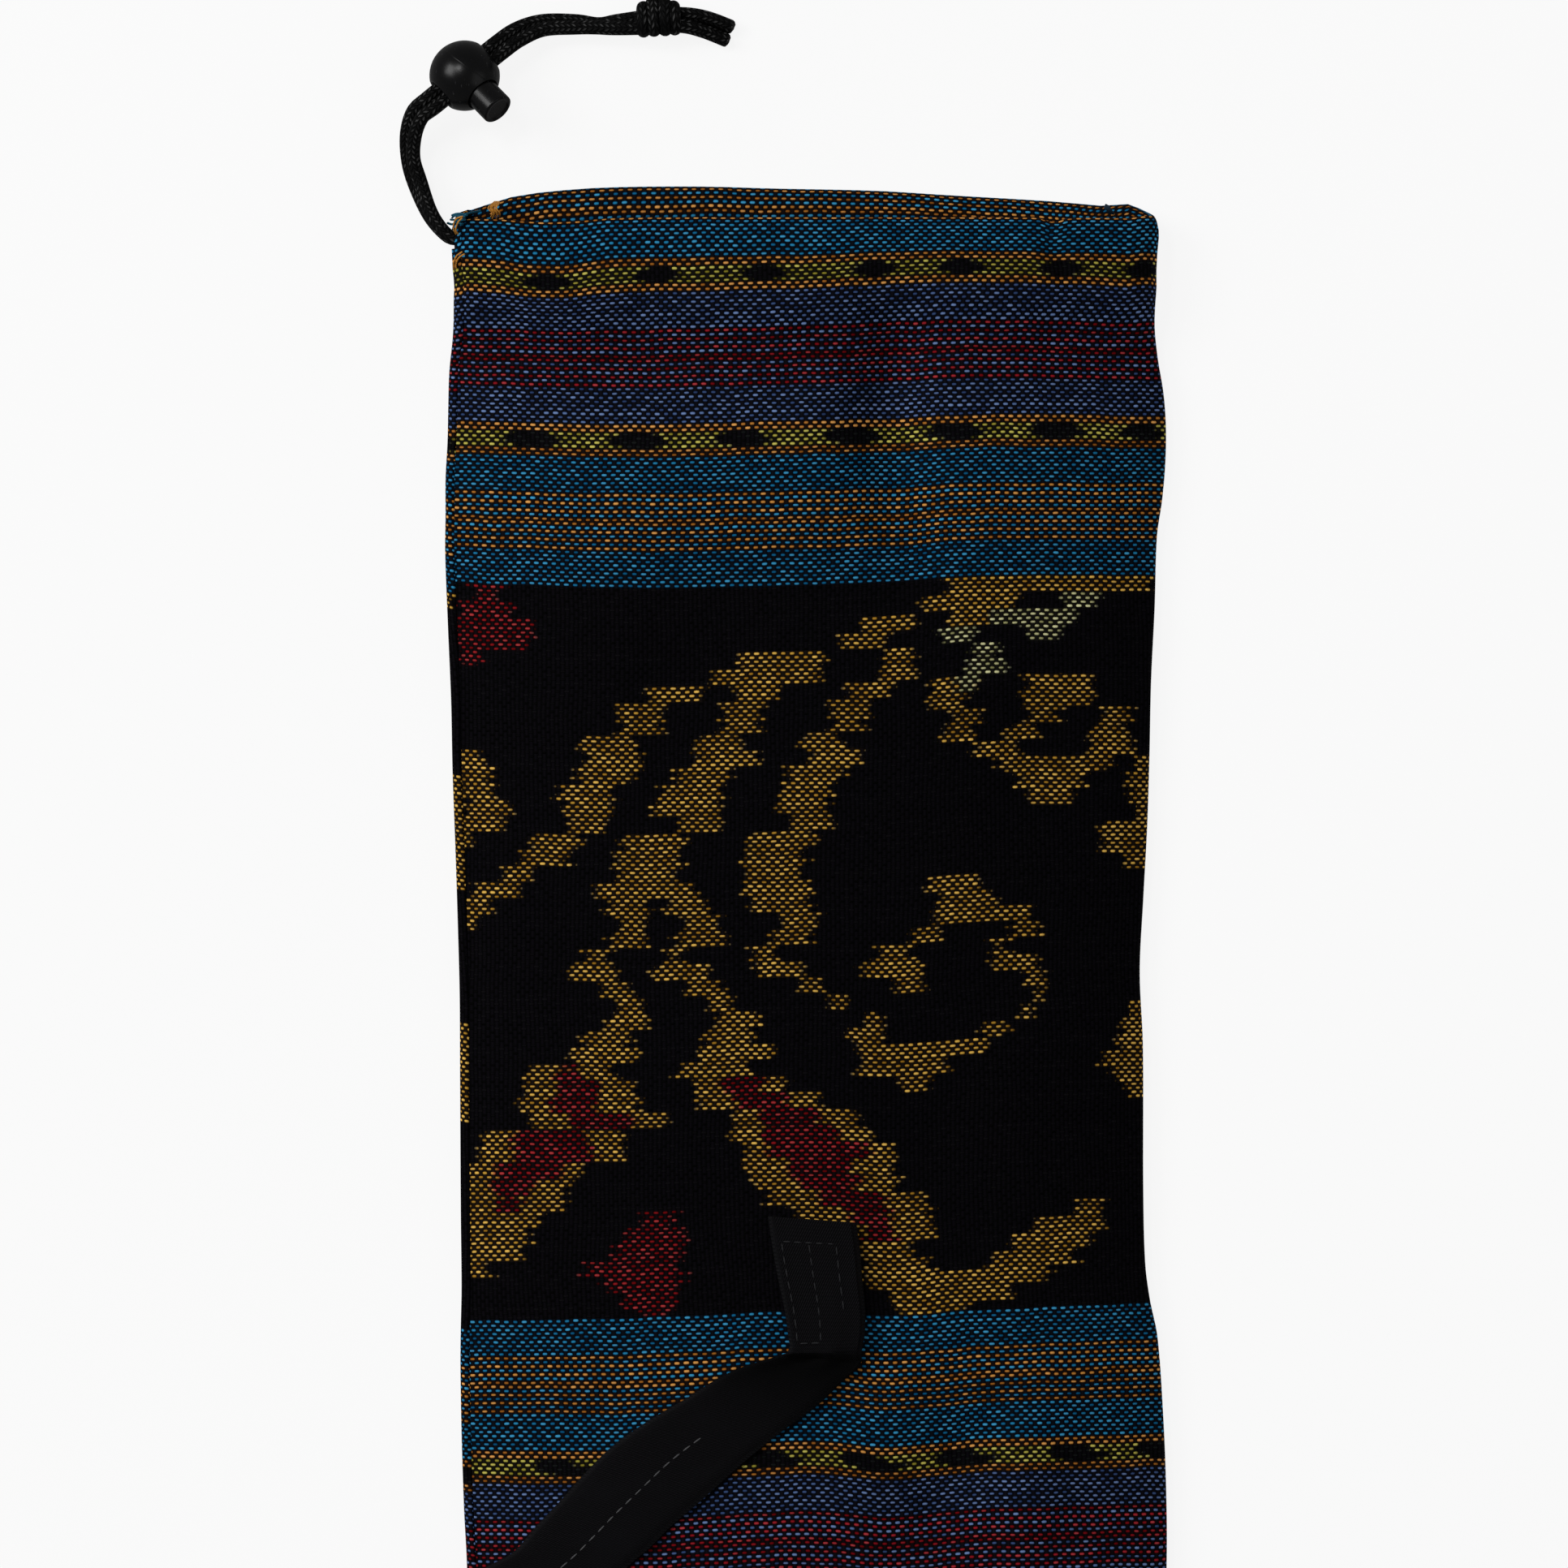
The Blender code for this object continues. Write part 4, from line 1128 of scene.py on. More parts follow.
# Black spindles in the lemon rows: the band's first row, mm of slant a row, and their middles
SPINDLES = [
    (9, 0.0, (-66.0, -37.9, -11.0, 17.0, 39.2, 65.2, 87.5)),
    (49, 0.4, (-70.0, -43.0, -16.1, 11.8, 37.7, 63.5, 87.4)),
    (299, 1.6, (-62.7, -36.0, -10.0, 15.3, 39.3, 67.7, 90.0)),
    (339, 1.2, (-72.0, -46.0, -19.0, 8.0, 33.0, 60.0, 84.0)),
]
SPINDLE_EVERY = 26.2
SPINDLE_HALF = 7.0
SPINDLE_ROWS = 8
ROWS_IN_BUNDLE, LAST_BUNDLE = 4, 44
REPEAT = 186.0  # the figures come again this many mm across
print(sum(len(spans) for _, spans in GOLD.values()), "gold spans in", len(GOLD), "strokes")


# %% Distance to the nearest edge of a dye
def by_bundle(strokes):
    """{bundle: [(from, to), ...]} of all the strokes."""
    found = {}
    for first, spans in strokes.values():
        for n, span in enumerate(spans):
            found.setdefault(first + n, []).append(span)
    return found


DYES = {"gold": by_bundle(GOLD), "red": by_bundle(RED), "pale": by_bundle(PALE)}
FAR = 20.0


def outside(spans, x):
    """How many mm x is outside the nearest span. Inside one it is negative."""
    return min((max(a - x, x - b) for a, b in spans), default=FAR)


def dye_distance(dye, row, x):
    """The same for a row of the weave. Every second field is the chart turned end for end."""
    field, within = divmod(row - FIELD_START, FIELD_PERIOD)
    bundle = int(within // ROWS_IN_BUNDLE)
    if row < FIELD_START or bundle > LAST_BUNDLE:
        return FAR
    if field % 2:
        bundle = LAST_BUNDLE - bundle
    if field % 3 == 2:
        x = -x
    return min(outside(DYES[dye].get(bundle, []), x), FAR)


def spindle_distance(row, x):
    """How many mm x is outside the nearest black spindle, for the rows of a lemon band."""
    known = next((s for s in SPINDLES if s[0] <= row < s[0] + SPINDLE_ROWS), None)
    if known:
        first, slant, middles = known
        away = min(abs(x - middle - slant * (row - first - 3)) for middle in middles)
    else:
        away = abs((x + 7.0 * math.sin(row * 0.07)) % SPINDLE_EVERY - SPINDLE_EVERY / 2)
    return away - SPINDLE_HALF


print("gold distance in bundle 12, 6 mm left of the middle:", round(dye_distance("gold", 138, -6), 2))

# %% Lay the cloth and mark the dye on it
cloth_shape, corners = laid_grid(
    COLUMNS, ROWS, lambda i, j: cloth_grid[j][i], lambda i, j: (yarn_numbers[j][i], row_lines[j])
)
marks = {name: cloth_shape.loops.layers.float.new(name) for name in ("gold", "red", "pale", "spindle")}
for face in cloth_shape.faces:
    first_row = min(row_lines[corners[vert][1]] for vert in face.verts)
    left_column = min(corners[vert][0] for vert in face.verts)
    on_top = left_column < SEAM_ARC + TOP
    turns = 0 if on_top else round(middle_row[left_column] * YARN / MM / REPEAT)
    for loop in face.loops:
        column, number = corners[loop.vert]
        x = loop.vert.co.x / MM
        if not on_top:
            x = yarn_numbers[number][column] * YARN / MM - turns * REPEAT
        for dye in DYES:
            loop[marks[dye]] = dye_distance(dye, first_row + 0.5, x)
        loop[marks["spindle"]] = spindle_distance(first_row + 0.5, x)

# %% Open the seam where the cord comes out, and give the cloth its thickness
OPEN_ROWS = (3, 7)
OPEN_COLUMNS = (COLUMNS - 4, COLUMNS - 1)
CLOTH_THICKNESS = 0.8 * MM
opening = [
    face
    for face in cloth_shape.faces
    if all(OPEN_ROWS[0] <= row_lines[corners[vert][1]] <= OPEN_ROWS[1] for vert in face.verts)
    and all(OPEN_COLUMNS[0] <= corners[vert][0] <= OPEN_COLUMNS[1] for vert in face.verts)
]
bmesh.ops.delete(cloth_shape, geom=opening, context="FACES")
bmesh.ops.recalc_face_normals(cloth_shape, faces=cloth_shape.faces)
middle_face = max(cloth_shape.faces, key=lambda face: face.calc_center_median().z)
if middle_face.normal.z < 0:
    bmesh.ops.reverse_faces(cloth_shape, faces=cloth_shape.faces)
cloth = finished(cloth_shape, "bag_cloth", crease=70)
thickness = cloth.modifiers.new("thickness", "SOLIDIFY")
thickness.thickness = CLOTH_THICKNESS
thickness.offset = -1
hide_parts("bag_body", "bag_hem")

# %% [markdown]
# ## The weave and its colours
#
# The cloth is a plain-looking weave whose dyed warp yarns show as short bright floats on a nearly
# black weft. A float is about 1.3 mm long and 0.65 mm high, with rounded, soft ends, and floats in
# the next row sit half a step along. The stripes are mirrored about a red band, so one folded ramp
# gives them all. Each float is a little lighter or darker than the next, and each row a little
# thicker or thinner. A photograph of cloth mapped onto the bag would be quicker, but it would
# blur near by and repeat from far off.

# %% Colours of the stripes
TEAL, ORANGE, LEMON = colour(36, 136, 184), colour(208, 142, 64), colour(186, 176, 74)
PURPLE, RED_YARN, BLACK = colour(88, 114, 164), colour(156, 26, 38), colour(7, 6, 8)
GOLD_DYE, RED_DYE, PALE_DYE = colour(220, 172, 70), colour(152, 24, 30), colour(208, 206, 152)
# Rows outwards from the middle of the mirrored group: a colour and how many rows of it
STRIPES = [(RED_YARN, 1), (PURPLE, 1)] * 3 + [(RED_YARN, 1), (PURPLE, 9)]
STRIPES += [(ORANGE, 2), (LEMON, 4), (ORANGE, 2)]
STRIPES += [(TEAL, 9)] + [(ORANGE, 1), (TEAL, 1)] * 3 + [(ORANGE, 2), (TEAL, 1), (ORANGE, 1), (TEAL, 1)]
STRIPES += [(ORANGE, 1), (TEAL, 1), (ORANGE, 1), (TEAL, 9)]
GROUP_MIDDLE, GROUP_HALF = 33.0, 56
LEMON_MIDDLE = 20.0  # rows from the group's middle to the middle of a lemon band
print("rows in half a group:", sum(count for _, count in STRIPES))

# %% Floats and rows
weave = Finish("ikat_weave", roughness=0.75, specular=0.04)
yarns, rows = weave.woven_map()


def woven_cloud(across, along):
    """Soft noise on the cloth, this many waves a yarn and a row."""
    place = weave.together(weave.math("MULTIPLY", yarns, across), weave.math("MULTIPLY", rows, along))
    return weave.cloud(place, 1.0)


drift = woven_cloud(0.03, 0.03)
yarns = weave.math("ADD", yarns, weave.math("MULTIPLY", weave.math("SUBTRACT", drift, 0.5), 2.4))
sway = woven_cloud(0.11, 0.05)
rows = weave.math("ADD", rows, weave.math("MULTIPLY", weave.math("SUBTRACT", sway, 0.5), 0.9))
row = weave.math("FLOOR", rows)
in_row = weave.math("SUBTRACT", weave.math("FRACT", rows), 0.5)
pairs = weave.math("MULTIPLY", weave.math("ADD", yarns, row), 0.5)
float_number = weave.math("FLOOR", pairs)
in_float = weave.math("MULTIPLY", weave.math("SUBTRACT", weave.math("FRACT", pairs), 0.5), 2.0)
row_luck = weave.chance(row, 3.0)
float_luck = weave.chance(row, float_number)
half_long = weave.math("ADD", weave.math("MULTIPLY", float_luck, 0.12), 0.50)
half_high = weave.math("ADD", weave.math("MULTIPLY", row_luck, 0.07), 0.27)
end_share = weave.math("POWER", weave.math("ABSOLUTE", weave.math("DIVIDE", in_float, half_long)), 3.2)
side_share = weave.math("POWER", weave.math("ABSOLUTE", weave.math("DIVIDE", in_row, half_high)), 2.6)
reach = weave.math("ADD", end_share, side_share)
float_mask = weave.step(reach, 1.3, 0.65)
float_dome = weave.step(reach, 1.3, 0.0)
print("nodes for the floats:", len(weave.tree.nodes))

# %% Colour by row, and dye by distance
centred = weave.math("ADD", row, 0.5 - GROUP_MIDDLE + FIELD_PERIOD / 2)
folded = weave.math("FLOORED_MODULO", centred, float(FIELD_PERIOD))
folded = weave.math("ABSOLUTE", weave.math("SUBTRACT", folded, FIELD_PERIOD / 2))
ramp = weave.node("ShaderNodeValToRGB", Fac=weave.math("DIVIDE", folded, float(GROUP_HALF)))
ramp.color_ramp.interpolation = "CONSTANT"
so_far = 0
for number, (shade, count) in enumerate(STRIPES):
    stops = ramp.color_ramp.elements
    stop = stops[0] if number == 0 else stops[1] if number == 1 else stops.new(so_far / GROUP_HALF)
    stop.position = so_far / GROUP_HALF
    stop.color = shade
    so_far += count

row_shift = weave.math("SUBTRACT", weave.chance(row, 11.0), 0.5)
float_shift = weave.math("SUBTRACT", weave.chance(float_number, weave.math("ADD", row, 0.5)), 0.5)
feather = weave.math("ADD", weave.math("MULTIPLY", row_shift, 3.0), weave.math("MULTIPLY", float_shift, 1.6))


def dyed(name, further=0.0):
    """1 where a dye is, 0 where it isn't, with ends that differ from row to row."""
    distance = weave.node("ShaderNodeAttribute", {"attribute_name": name}).outputs["Fac"]
    distance = weave.math("ADD", weave.math("ADD", distance, feather), further)
    return weave.step(distance, 0.9, -1.5)


in_field = weave.math("GREATER_THAN", folded, float(GROUP_HALF))
field_shade = weave.blend(dyed("gold"), BLACK, GOLD_DYE)
field_shade = weave.blend(dyed("pale"), field_shade, PALE_DYE)
field_shade = weave.blend(dyed("red"), field_shade, RED_DYE)
yarn_shade = weave.blend(in_field, ramp.outputs[0], field_shade)
off_lemon = weave.math("ABSOLUTE", weave.math("SUBTRACT", folded, LEMON_MIDDLE))
lemon_rows = weave.math("LESS_THAN", off_lemon, 2.2)
tapered = weave.math("MULTIPLY", weave.math("SUBTRACT", off_lemon, 0.5), 2.2)
spindle = weave.math("MULTIPLY", lemon_rows, dyed("spindle", tapered))
yarn_shade = weave.blend(spindle, yarn_shade, colour(14, 16, 16))
print("with the colours:", len(weave.tree.nodes), "nodes and", len(ramp.color_ramp.elements), "stripes")

# %% Light and dark yarns, painted shade and highlights, and the relief of the weave
light = weave.math("ADD", weave.math("MULTIPLY", float_luck, 0.62), 0.62)
light = weave.math("MULTIPLY", light, weave.math("ADD", weave.math("MULTIPLY", row_luck, 0.35), 0.82))
# Painted light and shade: the crown of each float is painted lighter, and its ends and sides darker.
light = weave.math("MULTIPLY", light, weave.math("ADD", weave.math("MULTIPLY", float_dome, 0.8), 0.35))
# Painted shade: the weft is lighter on its crests and darker between its yarns, where shade falls.
ribs = weave.math("MULTIPLY", yarns, 2 * math.pi)
rib = weave.math("ADD", weave.math("MULTIPLY", weave.math("COSINE", ribs), 0.5), 0.5)
ground = weave.blend(rib, colour(1, 1, 2), colour(12, 9, 15))
ground = weave.blend(0.010, ground, yarn_shade, "ADD")
# painted shade: a float painted darker is also deeper in colour, and one painted lighter is paler
shade_deepness = weave.step(light, 0.25, 1.25, 1.5, 0.92)
shaded = weave.node("ShaderNodeGamma", Color=yarn_shade, Gamma=shade_deepness).outputs[0]
# Painted highlight: a pale streak on the crowns of some dyed floats.
glint = weave.math("MULTIPLY", weave.step(float_dome, 0.6, 1.0), weave.step(float_luck, 0.4, 1.0))
dyed_part = weave.math("GREATER_THAN", weave.node("ShaderNodeRGBToBW", Color=yarn_shade).outputs[0], 0.01)
glint = weave.math("MULTIPLY", weave.math("MULTIPLY", glint, dyed_part), 0.06)
float_shade = weave.blend(glint, weave.scaled(shaded, light), colour(220, 220, 205))
surface = weave.blend(float_mask, ground, float_shade)
weave.set(weave.shader, "Base Color", surface)
hairs = woven_cloud(3.0, 9.0)
height = weave.math("ADD", weave.math("MULTIPLY", float_dome, 0.75), weave.math("MULTIPLY", rib, 0.2))
weave.relief(weave.math("ADD", height, weave.math("MULTIPLY", hairs, 0.12)), 0.22 * MM, 0.7)
cloth.data.materials.append(weave.material)
print("weave finish has", len(weave.tree.nodes), "nodes")

# %% [markdown]
# ## The shoulder strap
#
# The strap is a flat black tape, 25 mm wide and 2 mm thick. Its end is folded under and sewn to
# the bag in a box, then it turns sharply and slopes off over the bag's left edge to the floor.
# Tape keeps its width, so it is laid along its own middle line: a grid round its flat cross
# section, a little fuller in the middle and pinched by the stitching. It rests on the cloth's own
# height.

# %% The strap's line and heights
STRAP_HALF = 12.5 * MM
STRAP_THICK = 2.0 * MM
STRAP_END_THICK = 4.0 * MM  # where it is folded under
STRAP_END_LENGTH = 34.0 * MM
STRAP_SEAT = 0.5 * MM  # how far it lies above the cloth's own height
STRAP_DROP = 45.0 * MM  # how far past the bag's edge it reaches the floor
SEWN_Y = 0.438
# The measured edges of its upper part: x and y of the left edge and of the right one, in mm
STRAP_EDGES = [
    (-9.7, 438.8, 12.8, 437.1),
    (-8.6, 431.0, 13.8, 430.0),
    (-7.2, 423.2, 14.4, 422.4),
    (-5.6, 415.6, 15.1, 415.0),
    (-4.6, 408.6, 15.0, 408.8),
    (-4.4, 404.4, 14.2, 404.8),
    (-8.2, 402.9, 13.9, 401.0),
    (-17.0, 400.1, 9.7, 397.0),
    (-23.6, 396.8, 2.2, 389.9),
    (-30.8, 392.2, -6.6, 383.6),
    (-39.9, 386.8, -13.9, 377.8),
    (-49.0, 380.4, -20.1, 372.4),
    (-56.3, 373.2, -27.1, 366.0),
    (-62.7, 366.0, -34.6, 359.6),
    (-69.1, 359.2, -39.9, 354.2),
    (-75.0, 352.6, -46.3, 348.7),
]
# Then its middle, across as a share of the half width and along as a share of the way to the
# bag's middle, and the tape keeps its full width
STRAP_ROUTE = [
    (-0.860, 0.232),
    (-1.090, 0.283),
    (-1.390, 0.363),
    (-1.700, 0.463),
    (-1.990, 0.600),
    (-2.200, 0.760),
    (-2.310, 0.900),
    (-2.330, 1.000),
]
LAST_MEASURED = Vector((-0.0607, 0.3507, 0))  # the middle of the last measured row


def strap_rungs():
    """Rows of left x, y and right x, y along the whole strap."""
    middles = [Vector((across * HALF_WIDTH, SEWN_Y * (1 - along), 0.0)) for across, along in STRAP_ROUTE]
    rungs = [tuple(value * MM for value in row) for row in STRAP_EDGES]
    for n, middle in enumerate(middles):
        ahead = middles[n + 1] if n + 1 < len(middles) else middle - Vector((0, 1, 0))
        behind = middles[n - 1] if n else LAST_MEASURED
        out = (behind - ahead).normalized().cross(Vector((0, 0, 1))) * STRAP_HALF
        rungs.append((middle.x - out.x, middle.y - out.y, middle.x + out.x, middle.y + out.y))
    return rungs + [(a, -b, c, -d) for a, b, c, d in reversed(rungs[:-1])]


def strap_floor(x, y):
    """The height of what the strap lies on: the bag, then a slope, then the floor."""
    down = MOUTH_Y - y
    left, _, _, radius = outline(down)
    inner = left + radius
    if x >= inner:
        return top_height(x, down) + STRAP_SEAT
    return (2 * radius + STRAP_SEAT) * (1 - ease((inner - x) / STRAP_DROP))


strap_rows = strap_rungs()
strap_middles = [((a + c) / 2, (b + d) / 2, 0.0) for a, b, c, d in strap_rows]
strap_frames = []
for share in even_shares(strap_middles, 1.9 * MM, samples=2400):
    a, b, c, d = smooth_through(strap_rows, share)
    strap_frames.append((Vector(((a + c) / 2, (b + d) / 2, 0)), Vector(((c - a) / 2, (d - b) / 2, 0))))
strap_along = [0.0]
for (a, _), (b, _) in zip(strap_frames, strap_frames[1:]):
    strap_along.append(strap_along[-1] + (b - a).length)
print("strap:", len(strap_frames), "sections,", round(strap_along[-1], 3), "m long")

# %% The strap's cross section
STRAP_TOP, STRAP_SIDE, STRAP_UNDER = 14, 3, 8
STRAP_COLUMNS = STRAP_TOP + STRAP_UNDER + 2 * STRAP_SIDE
PINCH_AT, PINCH_REACH, PINCH_DEPTH = 0.62, 0.10, 0.35 * MM  # beside the rows of stitches
TURN_AT, TURN_REACH = 38, 4.5  # mm from the end, where the strap turns sharply
PUCKER = 1.1 * MM  # how far the turn puckers up


def tape_section(column):
    """(share across from -1 to 1, share of the thickness) round the strap's cross section."""
    if column <= STRAP_TOP:
        return 2 * column / STRAP_TOP - 1, 1.0
    column -= STRAP_TOP
    if column <= STRAP_SIDE:
        return 1.0, 1 - column / STRAP_SIDE
    column -= STRAP_SIDE
    if column <= STRAP_UNDER:
        return 1 - 2 * column / STRAP_UNDER, 0.0
    return -1.0, (column - STRAP_UNDER) / STRAP_SIDE


def strap_thickness(from_end):
    """(1 where the end is folded and sewn, the thickness there): low just after the fold."""
    sewn = 1 - ease((from_end - STRAP_END_LENGTH) / (1.8 * MM))
    low = math.exp(-(((from_end - STRAP_END_LENGTH) / MM - 4) / 8) ** 2) * (1 - sewn)
    return sewn, STRAP_THICK + (STRAP_END_THICK - STRAP_THICK) * sewn - 0.9 * MM * low


def strap_corner(column, number):
    middle, half = strap_frames[number]
    across, level = tape_section(column)
    from_end = min(strap_along[number], strap_along[-1] - strap_along[number])
    sewn, thick = strap_thickness(from_end)
    edge = 1 - 0.06 * abs(2 * level - 1) ** 3 * (abs(across) > 0.99)
    rounded = 1 - 0.35 * max(0.0, abs(across) - 0.86) / 0.14
    spot = middle + half * across * edge
    soft = noise.noise(Vector((spot.x * 60, spot.y * 60, 9.0))) * 0.25 * MM
    pinch = 0.0
    if sewn > 0.5:
        pinch = PINCH_DEPTH * math.exp(-(((abs(across) - PINCH_AT) / PINCH_REACH) ** 2))
    turn = math.exp(-(((from_end / MM - TURN_AT) / TURN_REACH) ** 2))
    pucker = turn * math.sin(across * 6.5 + 0.6) * PUCKER
    lift = (thick * rounded - pinch + pucker * 0.6) * level + max(soft + pucker * 0.4, 0.0)
    return Vector((spot.x, spot.y, strap_floor(spot.x, spot.y) + max(lift, 0.0)))


strap_shape, _ = laid_grid(
    STRAP_COLUMNS,
    len(strap_frames) - 1,
    strap_corner,
    lambda i, j: (tape_section(i)[0] * STRAP_HALF / MM + i * 0.001, strap_along[j] / MM),
)
bmesh.ops.remove_doubles(strap_shape, verts=strap_shape.verts, dist=0.001 * MM)
bmesh.ops.holes_fill(strap_shape, edges=[e for e in strap_shape.edges if e.is_boundary], sides=0)
bmesh.ops.recalc_face_normals(strap_shape, faces=strap_shape.faces)
strap = finished(strap_shape, "strap_tape", crease=55)
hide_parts("shoulder_strap")

# %% [markdown]
# ## Black twill
#
# The tape is dense black cotton. Its twill shows only as fine slanting ribs that catch a little
# light: their crests get a painted highlight where lint lies on them. It is grey where it is worn
# along its edges, and painted shade darkens it just past the fold where it turns.

# %% Twill finish
twill = Finish("strap_twill", roughness=0.8, specular=0.08)
across_mm, along_mm = twill.woven_map()
slant = twill.math("ADD", twill.math("MULTIPLY", across_mm, 1.45), twill.math("MULTIPLY", along_mm, 1.0))
rib = twill.math("ABSOLUTE", twill.math("SUBTRACT", twill.math("FRACT", slant), 0.5))
ridge = twill.step(rib, 0.45, 0.1)
beads = twill.math("MULTIPLY", along_mm, 2.1 * math.pi)
bead = twill.math("ADD", twill.math("MULTIPLY", twill.math("SINE", beads), 0.5), 0.5)
lint = twill.cloud(twill.together(across_mm, along_mm), 2.2, 4.0)
patch = twill.cloud(twill.together(across_mm, along_mm), 0.07, 3.0)
height = twill.math("MULTIPLY", ridge, twill.math("ADD", twill.math("MULTIPLY", bead, 0.4), 0.6))
edge_wear = twill.step(twill.math("ABSOLUTE", across_mm), 11.2, 12.6)
# Painted highlight on the crests of the ribs, where grey lint lies on them.
grey = twill.math("MULTIPLY", height, twill.math("ADD", twill.math("MULTIPLY", lint, 0.9), 0.05))
base = twill.blend(grey, colour(2, 2, 3), colour(37, 35, 39))
base = twill.blend(twill.math("MULTIPLY", edge_wear, 0.35), base, colour(32, 32, 34))
base = twill.blend(twill.math("MULTIPLY", twill.step(patch, 0.45, 0.75), 0.4), base, colour(18, 18, 21))
half_length = strap_along[-1] / MM / 2
from_middle = twill.math("ABSOLUTE", twill.math("SUBTRACT", along_mm, half_length))
from_end = twill.math("SUBTRACT", half_length, from_middle)
# Painted shade: darker just past the fold, where the strap turns.
shade_past_fold = twill.math("MULTIPLY", twill.step(from_end, 33.5, 35.5), twill.step(from_end, 66.0, 40.0))
shade = twill.math("SUBTRACT", 1.0, twill.math("MULTIPLY", shade_past_fold, 0.7))
twill.set(twill.shader, "Base Color", twill.scaled(base, shade))
twill.relief(twill.math("ADD", height, twill.math("MULTIPLY", lint, 0.3)), 0.25 * MM, 0.7)
strap.data.materials.append(twill.material)
print("twill finish has", len(twill.tree.nodes), "nodes")

# %% [markdown]
# ## Stitches
#
# Real stitches are short humps of thread that go down into the cloth at both ends. Each is a
# small squashed sphere, turned along its seam, and one mesh holds a whole seam. The strap has a
# box of stitches on its sewn end and one line down the middle of its free part.


# %% A helper for seams
def add_stitch(shape, start, end, thick):
    """One stitch between two points, as a small hump of thread."""
    hump = bmesh.ops.create_uvsphere(shape, u_segments=8, v_segments=5, radius=0.5)["verts"]
    way = end - start
    turn = way.to_track_quat("Z", "Y").to_matrix().to_4x4()
    size = Matrix.Diagonal((thick, thick, way.length, 1.0))
    bmesh.ops.transform(shape, matrix=Matrix.Translation((start + end) / 2) @ turn @ size, verts=hump)


def strap_surface(along, across, lift):
    """A point over the strap, this far along it and across it, in metres."""
    number = min(range(len(strap_along)), key=lambda n: abs(strap_along[n] - along))
    middle, half = strap_frames[number]
    ahead = strap_frames[min(number + 1, len(strap_frames) - 1)][0]
    behind = strap_frames[max(number - 1, 0)][0]
    spot = middle + half * (across / STRAP_HALF)
    spot += (ahead - behind).normalized() * (along - strap_along[number])
    from_end = min(along, strap_along[-1] - along)
    _, thick = strap_thickness(from_end)
    return Vector((spot.x, spot.y, strap_floor(spot.x, spot.y) + thick + lift))


def strap_seam(shape, start, end, lift=-0.08 * MM, stitch=2.3 * MM, gap=0.9 * MM, thick=0.42 * MM):
    """Stitches from one (along, across) place on the strap to another."""
    a, b = Vector((*start, 0)), Vector((*end, 0))
    count = max(1, round((b - a).length / (stitch + gap)))
    for n in range(count):
        first = a.lerp(b, (n + 0.14) / count)
        second = a.lerp(b, (n + 0.86) / count)
        points = [strap_surface(p.x, p.y, lift) for p in (first, second)]
        add_stitch(shape, *points, thick)
    return count


# %% The box and the middle line
LINE_LEFT, LINE_MIDDLE, LINE_RIGHT = -9.6 * MM, -1.9 * MM, 5.8 * MM
BOX_TOP, BOX_BOTTOM = 6.0 * MM, 31.5 * MM
SHORT_BY = 8 * MM  # the right row stops this far before the others
LINE_FROM, LINE_STEP = 72, 10  # mm from each end to the middle line, and mm a run of stitches
seams = bmesh.new()
stitch_count = 0
far_end = strap_along[-1]
for mirrored in (False, True):
    for start, end in (
        ((BOX_TOP, LINE_LEFT), (BOX_BOTTOM, LINE_LEFT)),
        ((BOX_TOP, LINE_MIDDLE), (BOX_BOTTOM, LINE_MIDDLE)),
        ((BOX_TOP, LINE_RIGHT), (BOX_BOTTOM - SHORT_BY, LINE_RIGHT)),
        ((BOX_TOP, LINE_LEFT), (BOX_TOP, LINE_RIGHT)),
        ((BOX_BOTTOM, LINE_LEFT), (BOX_BOTTOM, LINE_MIDDLE)),
    ):
        if mirrored:
            start, end = (far_end - start[0], start[1]), (far_end - end[0], end[1])
        stitch_count += strap_seam(seams, start, end)
middle_line = bmesh.new()
for start in range(LINE_FROM, int(far_end / MM) - LINE_FROM, LINE_STEP):
    run = (start * MM, 0.0), ((start + LINE_STEP) * MM, 0.0)
    stitch_count += strap_seam(middle_line, *run, lift=0.08 * MM)
box_stitches = finished(seams, "strap_box_stitches")
line_stitches = finished(middle_line, "strap_line_stitches")
print(stitch_count, "stitches on the strap")


def thread_finish(name, dark, light):
    made = Finish(name, roughness=0.6, specular=0.15)
    twist = made.cloud(made.object_place(), 2600.0, 2.0)
    made.set(made.shader, "Base Color", made.blend(twist, dark, light))
    made.relief(twist, 0.1 * MM, 0.5)
    return made.material


box_stitches.data.materials.append(thread_finish("box_thread", colour(18, 18, 19), colour(60, 60, 63)))
line_stitches.data.materials.append(thread_finish("line_thread", colour(52, 52, 54), colour(112, 112, 114)))

# %% [markdown]
# ## Loose threads
#
# The hem was cut and sewn by hand, so yarns stick out of the seam at its left corner, a knotted
# bundle of them stands on the rim, and a small tuft sits near the right corner. Each is a thin
# tube along a short curve. Particles or hair would do for a whole fringe, but for about twenty
# threads a short list says exactly where each one goes.

